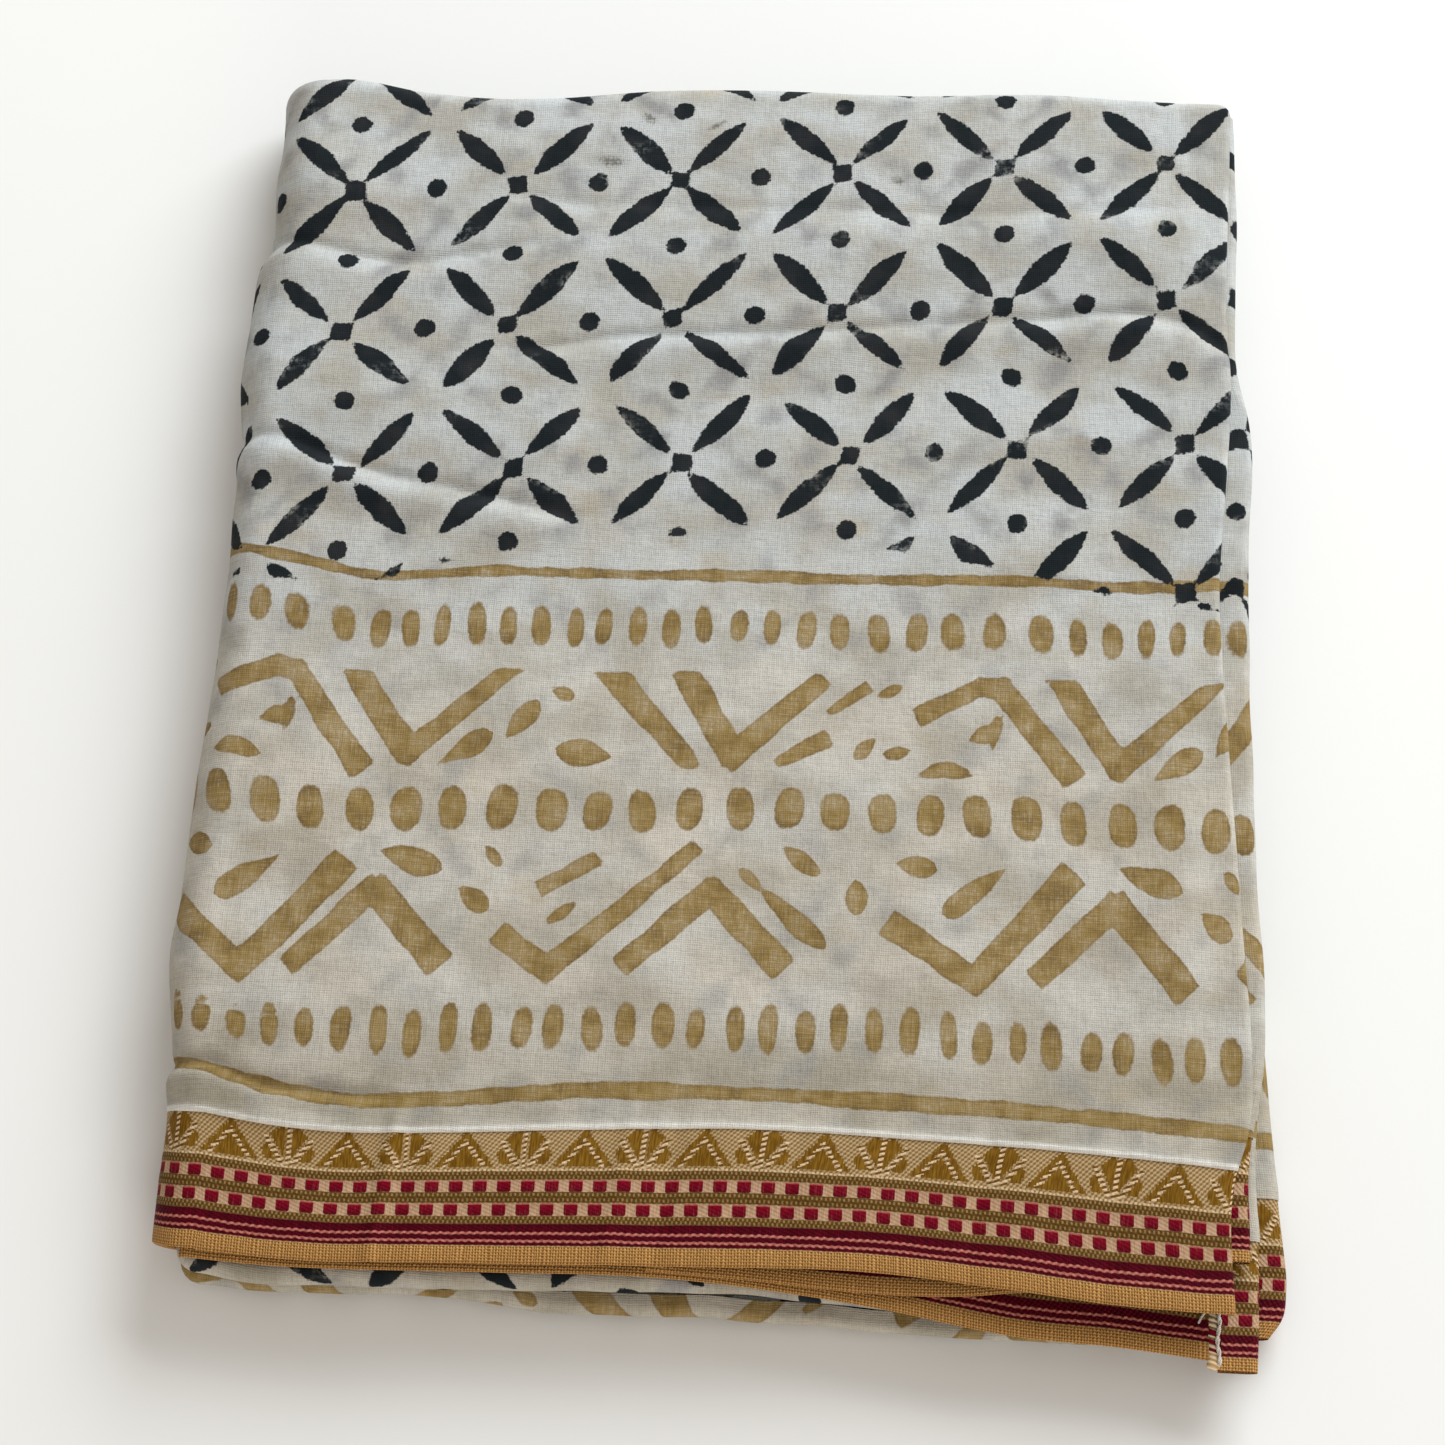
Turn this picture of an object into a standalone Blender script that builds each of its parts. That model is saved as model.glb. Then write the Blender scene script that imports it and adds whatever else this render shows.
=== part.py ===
"""A block-printed cotton sarong with woven ribbon borders, folded into a flat rectangular stack.

The sarong is folded in four across its width and in eight along its length. +X is to the right
along the ribbon borders, -Y is the near edge, where the ribbons lie, and +Z is up. The underside
lies on the surface at z = 0, and the origin is under the middle of the stack. The tables and
sizes below are in millimetres, and each mesh is made in metres.
"""

import bpy
import numpy as np

MM = 0.001

# Walls: the outer cloth, the ribbons, the cloth of the smaller folds
CLOTH = 1.6
RIBBON = 1.4
MIDDLE_RIBBON = 1.0
FOLD_WALL = 1.3

# Gaps between neighbours. At the seam the walls lean towards each other, so more is left there
GAP = 0.35
FOLD_GAP = 0.45
SEAM_GAP = 1.0

# Roughly where the stack's sides lie, for reading the plan lines before a point's own x and y are known
NOMINAL_LEFT = -110.0
NOMINAL_SIDE = -116.0
NOMINAL_RIGHT = 106.0
NOMINAL_HALF_WIDTH = 110.0
NOMINAL_HALF_DEPTH = 143.0

# Colours: bare cloth, printed cloth, ribbon, ribbon in gold and orange
COLOURS = {
    "cloth": (0.62, 0.58, 0.52),
    "hidden": (0.55, 0.52, 0.47),
    "black print": (0.50, 0.48, 0.44),
    "gold print": (0.56, 0.50, 0.38),
    "ribbon": (0.45, 0.30, 0.14),
    "hem": (0.62, 0.42, 0.22),
}

# Roundings of the outer ply: the last fold at the left, the fold at the right, the far edge
LEFT_RADIUS = 9.5
RIGHT_RADIUS = 1.8
FAR_RADIUS = 5.0
UNDER_RADIUS = 2.5
CORNER_PULL = 3.0
TUCK_DEGREES = 95.0
TUCKED_EDGE = 108.0

# The outer ply's X-Z section: shares of each straight stretch, angles of each round
OUTER_STATIONS = (
    [("under", place) for place in (1.0, 0.5)]
    + [("left", degrees) for degrees in range(0, 181, 22)]
    + [("top", place) for place in np.linspace(0, 1, 25)]
    + [("right", degrees) for degrees in (30, 60, 90)]
)
PANEL_ROWS = 30
FAR_TURNS = 5
BORDER_ROWS = 6

# How far a creased top may dip towards the hidden layers
DEEPEST_CREASE = 1.7

# Height of the top surface along y, and how much less it is along x
TOP_HEIGHT = (
    (150, 20.2), (100, 20.7), (0, 20.7), (-60, 20.3), (-85, 19.7), (-106, 18.9), (-122, 18.4), (-140, 18.0),
)
TOP_CROWN = ((-120, -0.4), (-80, 0.0), (60, 0.1), (112, 0.1))

# Plan lines of the outer ply: (y, x) for the sides, (x, y) for the near and far edges
LEFT_EDGE = (
    (149, -116.4), (123, -114.6), (104, -115.2), (88, -117.5), (46, -117.9), (6, -117.5),
    (-32, -119.0), (-80, -119.7), (-92, -118.4), (-115, -117.7), (-135, -117.7),
)
RIGHT_EDGE = (
    (149, 109.6), (121, 108.8), (94, 107.8), (69, 108.6), (43, 107.0), (21, 105.6), (6, 106.1),
    (-24, 107.8), (-58, 109.9), (-81, 111.5), (-94, 111.6), (-102, 110.4), (-109, 108.2), (-140, 107.7),
)
FAR_EDGE = (
    (-118, 144.4), (-105, 145.6), (-88, 142.9), (-60, 142.0), (-31, 145.3), (-3, 146.9),
    (31, 147.1), (69, 148.9), (90, 148.3), (112, 148.4),
)
SEAM = (
    (-118, -104.6), (-109, -106.2), (-98, -108.0), (-81, -109.1), (-67, -108.6), (-33, -106.4),
    (0, -104.6), (38, -105.0), (80, -106.6), (108, -108.4),
)
SELVEDGE = (
    (-118, -131.6), (-113, -133.6), (-98, -135.4), (-48, -134.8), (-6, -133.6), (34, -133.0),
    (61, -135.2), (85, -137.4), (102, -138.0), (110, -137.9),
)

# Creases of the top: a line in plan, its height (a trough is negative) and its half width
CREASES = (
    # x start, y start, x end, y end, height, half width
    (-116, 108.0, -70, 104.0, 1.1, 6.0),
    (-114, 98.0, -66, 96.5, -1.3, 5.0),
    (-58, 117.0, 80, 119.0, 0.8, 7.0),
    (-50, 126.0, 84, 127.0, -0.7, 6.0),
    (-62, 73.0, -10, 79.0, 0.9, 5.0),
    (-14, 79.0, 108, 82.0, 1.1, 5.0),
    (-40, 66.0, 104, 71.0, -0.9, 6.0),
    (-116, 54.0, -88, 44.0, 1.0, 6.0),
    (-92, 45.0, -34, 32.0, 0.9, 6.0),
    (-104, 40.0, -60, 27.0, -0.7, 6.0),
    (84, -8.0, 97, -80.0, 0.9, 6.0),
    (98, -20.0, 106, -92.0, -0.8, 5.0),
    (-62, 2.0, -20, -30.0, -0.5, 9.0),
    (-118, -82.0, -92, -92.0, 1.2, 6.0),
    (-118, -93.0, -78, -101.0, -1.4, 5.0),
    (-30, -88.0, 30, -90.0, 0.6, 6.0),
)

# The second ribbon: plan line and top height of its near edge
SECOND_BORDER = (
    # x, y, height
    (-113, -135.9, 15.4), (-98, -136.8, 15.2), (-48, -136.3, 15.1), (-14, -135.6, 14.5),
    (35, -139.7, 13.3), (61, -143.7, 12.3), (85, -145.1, 11.7), (104, -146.9, 11.5),
)
MIDDLE_BORDER = (
    (-14, -134.6, 15.9), (14, -135.6, 15.4), (35, -137.2, 14.9), (58, -139.2, 14.3), (72, -139.6, 14.0),
)
SECOND_BORDER_ENDS = (-109.5, 101.5)
SECOND_BORDER_STEPS = 24
MIDDLE_BORDER_ENDS = (-14.0, 72.0)
MIDDLE_BORDER_STEPS = 10

# How far the ribbons reach in under the outer one, and the end that turns down at the left
BORDER_DEPTH = 15.0
BORDER_RISE = 0.25
BORDER_CURL = 1.8
BORDER_CURL_DEGREES = (30, 60)
BORDER_DEPTHS = (0, 1.2, 5.0, 10.0, BORDER_DEPTH)

# The outer ribbon lies this much lower than the cloth's turned edge
BORDER_DROP = 0.3

# The two folds below the ribbons: plan line of the nose, middle height and half height
UPPER_FOLD = (
    (-107, -138.6, 10.4, 2.7), (-98, -140.0, 10.5, 2.75), (-72, -139.8, 10.6, 2.8), (-44, -139.4, 10.5, 2.7),
    (5, -137.9, 9.75, 2.4), (35, -139.4, 9.1, 2.2), (62, -140.6, 8.3, 2.0), (94, -141.0, 7.9, 1.9),
)
LOWER_FOLD = (
    (-107, -140.1, 4.8, 2.6), (-98, -140.7, 4.8, 2.6), (-54, -140.7, 4.8, 2.6), (-38, -142.3, 4.7, 2.5),
    (5, -142.1, 4.4, 2.2), (36, -143.4, 4.1, 1.9), (62, -143.8, 3.9, 1.8), (94, -143.3, 3.8, 1.7),
)
FOLD_END = -112.3
FOLD_CORNER = 5.0
FOLD_END_LENGTH = 4.5
FOLD_LEG = 4.3
UPPER_FOLD_RIGHT = 93.0
LOWER_FOLD_RIGHT = 100.0
NOSE_STEPS = 7
NEAR_FOLD_STEPS = 22

# The folds at the right: plan line of the nose, middle height and half height
SECOND_FOLD = (
    # y, x, middle height, half height
    (145, 110.9, 15.2, 2.0), (105, 111.0, 15.4, 2.1), (76, 111.1, 15.4, 2.1), (66, 113.2, 15.4, 2.1),
    (31, 112.7, 15.4, 2.1), (-2, 112.8, 15.3, 2.1), (-40, 113.6, 15.1, 2.1), (-71, 115.1, 14.7, 2.1),
    (-88, 114.2, 14.3, 2.1), (-100, 112.0, 14.2, 2.0),
)
SECOND_FOLD_BORDER = (
    (-100, 112.0, 14.2, 2.0), (-110, 111.3, 14.0, 2.0), (-118, 111.2, 13.9, 1.9), (-127, 111.1, 13.8, 1.8),
)
CORNER_FOLD = (
    (-60, 112.9, 9.7, 2.1), (-72, 114.4, 9.7, 2.1), (-88, 114.7, 9.7, 2.1), (-104, 113.5, 9.7, 2.0),
    (-121, 114.0, 9.7, 1.9),
)
CORNER_BORDER = (
    (-121, 114.0, 9.7, 1.9), (-132, 113.6, 9.7, 1.8), (-142, 113.4, 9.7, 1.8), (-148.9, 113.2, 9.7, 1.8),
)
SIDE_FOLD = (
    (-58, 113.6, 4.6, 2.5), (-66, 115.7, 4.6, 2.5), (-84, 116.8, 4.6, 2.5), (-100, 117.8, 4.6, 2.5),
    (-111, 118.9, 4.5, 2.4),
)
SIDE_BORDER = (
    (-111, 118.9, 4.5, 2.4), (-122, 120.0, 4.4, 2.3), (-131, 120.2, 4.3, 2.2), (-137, 119.2, 4.2, 2.1),
    (-141, 116.4, 4.2, 2.1),
)
SECOND_FOLD_LEG = 5.2
CORNER_FOLD_LEG = 7.4
SIDE_FOLD_LEG = 8.5

# The rolled hem along the cut end of the corner ply
HEM_X = 104.1
HEM_NEAR = -148.7
HEM_FAR = -122.0
HEM_HALF_WIDTH = 1.3
HEM_HALF_HEIGHT = 1.0
HEM_HEIGHT = 11.0
HEM_STEPS = 6

# Hidden layers: how far each ring stands back from the outline, and its height.
# Near the front edge the heights follow the two folds, elsewhere they are the last column's.
HIDDEN_RINGS = (
    # near inset, fold it follows, share of its half height, far inset, right inset, corner inset, height
    (6.2, "floor", 0.0, 6.2, 3.0, 3.0, 2.25),
    (6.2, "lower", -0.55, 3.4, 1.6, 1.6, 2.8),
    (6.2, "lower", -0.2, 1.0, 0.4, 0.4, 4.1),
    (3.2, "lower", 0.0, 2.6, 2.4, 2.4, 4.9),
    (6.2, "lower", 0.2, 1.3, 0.8, 0.8, 5.7),
    (11.0, "lower", 0.9, 1.2, 0.7, 0.7, 7.4),
    (6.2, "upper", -0.28, 2.8, 2.2, 2.2, 8.2),
    (2.5, "upper", 0.0, 0.6, 0.0, 0.0, 8.9),
    (6.2, "upper", 0.28, 0.5, 0.1, 0.1, 10.6),
    (6.2, "upper", 0.92, 2.5, 2.6, 1.0, 11.4),
    (36.0, "upper", 1.02, 1.5, 8.2, -0.6, 12.2),
    (36.0, "upper", 1.6, 2.3, 8.2, -0.6, 13.8),
    (36.0, "upper", 1.9, 3.0, 8.2, -0.6, 14.6),
)
HIDDEN_RIM = (37.5, "upper", 1.9, 4.4, 9.4, 0.6, 16.9)
HIDDEN_CAP_SCALES = (1.0, 0.7, 0.35)
HIDDEN_SIDE_STEPS = 15
HIDDEN_CORNER = 0.07
HIDDEN_RIGHT = (
    # y, x
    (149, 109.5), (70, 109.5), (10, 110.3), (-42, 110.3), (-50, 107.5), (-57, 103.4), (-145, 102.4),
)
HIDDEN_CORNER_ZONE = (-42.0, -57.0)
HIDDEN_NEAR_ZONE = (-104.0, -122.0)
HIDDEN_LEFT_PULL = 10.0
HIDDEN_SIDE_CLEARANCE = 1.6


def through(rows, at, column=1):
    """A smooth curve through a column of the rows, whose first column is the place, read at places."""
    table = np.array(rows, float)
    table = table[np.argsort(table[:, 0])]
    place, value = table[:, 0], table[:, column]
    slope = np.gradient(value, place)
    at = np.clip(at, place[0], place[-1])
    i = np.clip(np.searchsorted(place, at, side="right") - 1, 0, len(place) - 2)
    span = place[i + 1] - place[i]
    t = (at - place[i]) / span
    rise = value[i] * (2 * t**3 - 3 * t**2 + 1) + value[i + 1] * (3 * t**2 - 2 * t**3)
    bend = slope[i] * (t**3 - 2 * t**2 + t) + slope[i + 1] * (t**3 - t**2)
    return rise + bend * span


def ease(value, start, end):
    """0 before start, 1 after end, smooth in between."""
    t = np.clip((value - start) / (end - start), 0, 1)
    return t * t * (3 - 2 * t)


def crease_height(x, y):
    total = np.zeros(np.broadcast(x, y).shape)
    for x0, y0, x1, y1, height, half_width in CREASES:
        length = np.hypot(x1 - x0, y1 - y0)
        along = ((x - x0) * (x1 - x0) + (y - y0) * (y1 - y0)) / length
        across = ((x - x0) * (y1 - y0) - (y - y0) * (x1 - x0)) / length
        fade = ease(along, -half_width, half_width) * ease(length - along, -half_width, half_width)
        total += height * fade * np.exp(-((across / half_width) ** 2))
    return total


def top_height(x, y):
    return through(TOP_HEIGHT, y) + through(TOP_CROWN, x)


def material(name, colour):
    made = bpy.data.materials.new(name)
    made.use_nodes = True
    shader = made.node_tree.nodes["Principled BSDF"]
    shader.inputs["Base Color"].default_value = (*colour, 1)
    shader.inputs["Roughness"].default_value = 0.85
    shader.inputs["Metallic"].default_value = 0.0
    made.diffuse_color = (*colour, 1)
    return made


def new_object(name, points, faces, colour):
    mesh = bpy.data.meshes.new(name)
    mesh.from_pydata([tuple(point) for point in np.asarray(points) * MM], [], faces)
    mesh.shade_smooth()
    mesh.materials.append(material(name, COLOURS[colour]))
    made = bpy.data.objects.new(name, mesh)
    parts.objects.link(made)
    return made


def wall(name, grid, thickness, colour):
    """A cloth wall: an open surface through a grid of points, thickened inwards."""
    rows, columns = grid.shape[:2]
    faces = []
    for i in range(rows - 1):
        for j in range(columns - 1):
            corner = i * columns + j
            faces.append((corner, corner + 1, corner + columns + 1, corner + columns))
    made = new_object(name, grid.reshape(-1, 3), faces, colour)
    solidify = made.modifiers.new("Cloth thickness", "SOLIDIFY")
    solidify.thickness = thickness * MM
    solidify.offset = -1
    solidify.use_even_offset = True
    return made


def outer_point(kind, place, y, roll, lift):
    """The x and z of one station of the outer ply at y, rolled over by an angle at the far edge."""
    curl = 1 - np.cos(roll)
    left = through(LEFT_EDGE, y) + CORNER_PULL * curl + LEFT_RADIUS
    right = through(RIGHT_EDGE, y) - CORNER_PULL * curl - RIGHT_RADIUS
    floor = UNDER_RADIUS * curl
    if kind == "under":
        return left + (TUCKED_EDGE - left) * place, floor
    x = {"left": left, "right": right}.get(kind, left + (right - left) * place)
    top = top_height(x, y) + crease_height(x, y) + lift - FAR_RADIUS * curl
    if kind == "top":
        return x, top
    angle = np.radians(place)
    if kind == "left":
        middle = (top + floor) / 2
        return x - LEFT_RADIUS * np.sin(angle), middle - (middle - floor) * np.cos(angle)
    return x + RIGHT_RADIUS * np.sin(angle), top - RIGHT_RADIUS * (1 - np.cos(angle))


def nominal_x(kind, place):
    """The x at which a station's near and far lines are read."""
    if kind == "left":
        return NOMINAL_SIDE
    if kind == "right":
        return NOMINAL_RIGHT
    return NOMINAL_LEFT + (NOMINAL_RIGHT - NOMINAL_LEFT) * place


def outer_grid(near_line, far_line, shares, rolls, lift):
    """Points of the outer ply between two plan lines, then rolled over at the far line."""
    grid = []
    for kind, place in OUTER_STATIONS:
        line_x = nominal_x(kind, place)
        near = through(near_line, line_x)
        far = through(far_line, line_x)
        column = []
        for share, roll in zip(shares, rolls):
            reach = far - FAR_RADIUS if far_line is FAR_EDGE else far
            y = near + (reach - near) * share
            x, z = outer_point(kind, place, y, roll, lift)
            column.append((x, y + FAR_RADIUS * np.sin(roll), z))
        grid.append(column)
    return np.array(grid)


def make_outer_panel():
    turns = np.radians(np.linspace(0, TUCK_DEGREES, FAR_TURNS + 1)[1:])
    shares = np.concatenate([np.linspace(0, 1, PANEL_ROWS), np.ones(FAR_TURNS)])
    rolls = np.concatenate([np.zeros(PANEL_ROWS), turns])
    grid = outer_grid(SEAM, FAR_EDGE, shares, rolls, 0.0)
    wall("outer_panel", grid[::-1], CLOTH, "cloth")


def make_outer_border():
    seam = [(x, y - SEAM_GAP) for x, y in SEAM]
    shares = np.linspace(0, 1, BORDER_ROWS)
    grid = outer_grid(SELVEDGE, seam, shares, np.zeros(BORDER_ROWS), -BORDER_DROP)
    wall("outer_border", grid[::-1], RIBBON, "ribbon")


def make_border_strip(name, rows, ends, steps, end_curl, thickness):
    """A ribbon lying under the outer one, which may turn down at its left end."""
    depths = np.array(BORDER_DEPTHS)
    grid = []
    for x in np.linspace(*ends, steps):
        near = through(rows, x)
        height = through(rows, x, 2)
        rise = BORDER_RISE * ease(depths, 0, BORDER_DEPTH)
        grid.append([(x, near + depth, height + lift) for depth, lift in zip(depths, rise)])
    first = np.array(grid[0])
    for degrees in end_curl:
        angle = np.radians(degrees)
        turned = first - BORDER_CURL * np.array([np.sin(angle), 0, 1 - np.cos(angle)])
        grid.insert(0, [tuple(point) for point in turned])
    wall(name, np.array(grid)[::-1], thickness, "ribbon")


def swept_fold(name, path, inward, middle, half, leg, colour):
    """A rounded fold, two plies joined by a nose, swept along a path in plan."""
    turns = np.radians(np.linspace(-90, 90, NOSE_STEPS))
    grid = []
    for point, direction, z, radius in zip(path, inward, middle, half):
        nose = [(radius - radius * np.cos(a), radius * np.sin(a)) for a in turns]
        profile = [(leg, -radius)] + nose + [(leg, radius)]
        grid.append([(*(point + direction * depth), z + rise) for depth, rise in profile])
    wall(name, np.array(grid)[::-1], FOLD_WALL, colour)


def make_near_fold(name, rows, right_end, colour):
    """A fold along the near edge, whose left end turns the corner in plan."""
    x = np.linspace(FOLD_END + FOLD_CORNER, right_end, NEAR_FOLD_STEPS)
    front = np.column_stack([x, through(rows, x)])
    corner_y = front[0, 1] + FOLD_CORNER
    angles = np.radians((22.5, 45, 67.5))
    corner = [(x[0] - FOLD_CORNER * np.cos(a), corner_y - FOLD_CORNER * np.sin(a)) for a in angles]
    end = [(FOLD_END, corner_y + FOLD_END_LENGTH), (FOLD_END, corner_y)]
    path = np.array(end + corner + [tuple(point) for point in front])
    inward = [(1, 0), (1, 0)] + [(np.cos(a), np.sin(a)) for a in angles] + [(0, 1)] * len(front)
    place = np.clip(path[:, 0], x[0], None)
    middle, half = through(rows, place, 2), through(rows, place, 3)
    swept_fold(name, path, np.array(inward, float), middle, half, FOLD_LEG, colour)


def make_right_fold(name, rows, leg, steps, trim, colour):
    """A fold along the right side. trim keeps it clear of the piece that goes on from its near end."""
    places = np.array(rows, float)[:, 0]
    y = np.linspace(places.min() + trim, places.max(), steps)
    path = np.column_stack([through(rows, y), y])
    inward = np.tile((-1.0, 0.0), (steps, 1))
    swept_fold(name, path, inward, through(rows, y, 2), through(rows, y, 3), leg, colour)


def make_hem():
    """The cut end's narrow rolled hem, a flattened roll with rounded ends."""
    made = bpy.data.curves.new("end_hem", "CURVE")
    made.dimensions = "3D"
    made.bevel_depth = HEM_HALF_HEIGHT * MM
    made.bevel_resolution = 2
    made.use_fill_caps = True
    line = made.splines.new("POLY")
    y = np.linspace(HEM_NEAR, HEM_FAR, HEM_STEPS)
    line.points.add(len(y) - 1)
    for point, place in zip(line.points, y):
        point.co = (0, place * MM, 0, 1)
    made.materials.append(material("end_hem", COLOURS["hem"]))
    hem = bpy.data.objects.new("end_hem", made)
    hem.location = (HEM_X * MM, 0, HEM_HEIGHT * MM)
    hem.scale = (HEM_HALF_WIDTH / HEM_HALF_HEIGHT, 1, 1)
    parts.objects.link(hem)


def rounded_square(count, radius):
    """Points round a square from -1 to 1 with rounded corners, anticlockwise from the near right corner."""
    points = []
    straight = np.linspace(-1 + radius, 1 - radius, count)
    corner = np.linspace(0, np.pi / 2, 4)
    for side in range(4):
        turn = side * np.pi / 2
        cos, sin = np.cos(turn), np.sin(turn)
        run = [(1.0, t) for t in straight]
        bend = [(1 - radius + radius * np.cos(a), 1 - radius + radius * np.sin(a)) for a in corner[1:-1]]
        points += [(cos * a - sin * b, sin * a + cos * b) for a, b in run + bend]
    return np.array(points)


def hidden_left(y, z):
    """The hidden layers' left side, inside the outer ply's round."""
    left = through(LEFT_EDGE, y)
    middle = top_height(left + LEFT_RADIUS, y) / 2
    share = np.clip((z - middle) / (middle - CLOTH - HIDDEN_SIDE_CLEARANCE), -0.98, 0.98)
    reach = LEFT_RADIUS - CLOTH - HIDDEN_SIDE_CLEARANCE
    pull = HIDDEN_LEFT_PULL * ease(-y, -HIDDEN_NEAR_ZONE[0], -HIDDEN_NEAR_ZONE[1])
    return left + LEFT_RADIUS - reach * np.sqrt(1 - share**2) + pull


def hidden_near_height(fold, share, x):
    if fold == "floor":
        return np.full(len(x), HIDDEN_RINGS[0][-1])
    rows = LOWER_FOLD if fold == "lower" else UPPER_FOLD
    return through(rows, x, 2) + share * through(rows, x, 3)


def hidden_ring(square, near_inset, fold, share, far_inset, right_inset, corner_inset, height):
    x_nominal, y_nominal = square[:, 0] * NOMINAL_HALF_WIDTH, square[:, 1] * NOMINAL_HALF_DEPTH
    closeness = ease(-y_nominal, -HIDDEN_NEAR_ZONE[0], -HIDDEN_NEAR_ZONE[1])
    z = height + (hidden_near_height(fold, share, x_nominal) - height) * closeness
    near = through(LOWER_FOLD if fold == "lower" else UPPER_FOLD, x_nominal) + near_inset
    far = through(FAR_EDGE, x_nominal) - far_inset
    y = near + (far - near) * (square[:, 1] + 1) / 2
    left = hidden_left(y, z)
    cornered = ease(-y, -HIDDEN_CORNER_ZONE[0], -HIDDEN_CORNER_ZONE[1])
    right = through(HIDDEN_RIGHT, y) - right_inset + (right_inset - corner_inset) * cornered
    x = left + (right - left) * (square[:, 0] + 1) / 2
    return np.column_stack([x, y, z])


def hidden_cap(square, scale):
    """One ring of the hidden layers' top, which lies under the creased outer ply."""
    ring = hidden_ring(square, *HIDDEN_RIM)
    centre = ring.mean(axis=0)
    plan = centre[:2] + (ring[:, :2] - centre[:2]) * scale
    z = top_height(plan[:, 0], plan[:, 1]) - CLOTH - GAP - DEEPEST_CREASE
    return np.column_stack([plan, z])


def make_hidden_layers():
    square = rounded_square(HIDDEN_SIDE_STEPS, HIDDEN_CORNER)
    rings = [hidden_ring(square, *row) for row in HIDDEN_RINGS]
    rings += [hidden_cap(square, scale) for scale in HIDDEN_CAP_SCALES]
    count = len(square)
    points = np.concatenate(rings)
    faces = [tuple(range(count))[::-1]]
    for ring in range(len(rings) - 1):
        start = ring * count
        for i in range(count):
            after = (i + 1) % count
            faces.append((start + i, start + after, start + count + after, start + count + i))
    faces.append(tuple(range((len(rings) - 1) * count, len(rings) * count)))
    new_object("hidden_layers", points, faces, "hidden")


for old in list(bpy.data.objects):
    bpy.data.objects.remove(old)
parts = bpy.data.collections.new("sarong")
bpy.context.scene.collection.children.link(parts)

make_outer_panel()
make_outer_border()
make_border_strip(
    "second_border", SECOND_BORDER, SECOND_BORDER_ENDS, SECOND_BORDER_STEPS, BORDER_CURL_DEGREES, RIBBON
)
make_border_strip("middle_border", MIDDLE_BORDER, MIDDLE_BORDER_ENDS, MIDDLE_BORDER_STEPS, (), MIDDLE_RIBBON)
make_near_fold("upper_near_fold", UPPER_FOLD, UPPER_FOLD_RIGHT, "black print")
make_near_fold("lower_near_fold", LOWER_FOLD, LOWER_FOLD_RIGHT, "gold print")
make_right_fold("second_fold", SECOND_FOLD, SECOND_FOLD_LEG, steps=26, trim=FOLD_GAP, colour="cloth")
make_right_fold("second_fold_border", SECOND_FOLD_BORDER, SECOND_FOLD_LEG, steps=5, trim=0, colour="ribbon")
make_right_fold("corner_fold", CORNER_FOLD, CORNER_FOLD_LEG, steps=9, trim=FOLD_GAP, colour="cloth")
make_right_fold("corner_border", CORNER_BORDER, CORNER_FOLD_LEG, steps=6, trim=0, colour="ribbon")
make_right_fold("side_fold", SIDE_FOLD, SIDE_FOLD_LEG, steps=8, trim=FOLD_GAP, colour="cloth")
make_right_fold("side_border", SIDE_BORDER, SIDE_FOLD_LEG, steps=9, trim=0, colour="ribbon")
make_hem()
make_hidden_layers()
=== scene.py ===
"""The looks of a block-printed cotton sarong, folded flat and lying on its underside.

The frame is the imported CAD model: +X to the right along the ribbons, -Y the near edge, +Z up.
The tables and sizes are in millimetres and repeat those of the solids. Every piece is a thin
surface on the form of the node that it replaces.
"""

import math

import bmesh
import bpy
import numpy as np
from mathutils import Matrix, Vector


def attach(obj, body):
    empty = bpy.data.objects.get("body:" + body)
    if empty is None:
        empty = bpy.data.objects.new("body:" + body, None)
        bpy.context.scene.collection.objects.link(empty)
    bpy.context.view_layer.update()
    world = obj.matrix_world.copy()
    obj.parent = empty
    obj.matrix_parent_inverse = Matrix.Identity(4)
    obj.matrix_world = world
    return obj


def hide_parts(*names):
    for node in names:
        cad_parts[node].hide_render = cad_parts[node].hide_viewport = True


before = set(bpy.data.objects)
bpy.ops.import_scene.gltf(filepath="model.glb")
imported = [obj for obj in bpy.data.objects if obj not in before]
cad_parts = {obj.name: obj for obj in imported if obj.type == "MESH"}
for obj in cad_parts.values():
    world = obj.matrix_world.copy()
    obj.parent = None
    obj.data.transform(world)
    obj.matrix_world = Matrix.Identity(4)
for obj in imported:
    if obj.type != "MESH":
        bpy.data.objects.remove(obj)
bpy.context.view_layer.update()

MM = 0.001

# Forms of the outer ply, as in the solids
NOMINAL_LEFT = -110.0
NOMINAL_SIDE = -116.0
NOMINAL_RIGHT = 106.0
NOMINAL_HALF_WIDTH = 110.0
NOMINAL_HALF_DEPTH = 143.0
LEFT_RADIUS = 9.5
RIGHT_RADIUS = 1.65
FAR_RADIUS = 5.0
UNDER_RADIUS = 2.5
CORNER_PULL = 3.0
TUCK_DEGREES = 95.0
TUCKED_EDGE = 108.0
CLOTH = 1.6
GAP = 0.35
BORDER_DROP = 0.3
DEEPEST_CREASE = 1.7

TOP_HEIGHT = (
    (150, 20.2), (100, 20.7), (0, 20.7), (-60, 20.3), (-85, 19.7), (-106, 18.9), (-122, 18.4), (-140, 18.0),
)
TOP_CROWN = ((-120, -0.4), (-80, 0.0), (60, 0.1), (112, 0.1))

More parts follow.
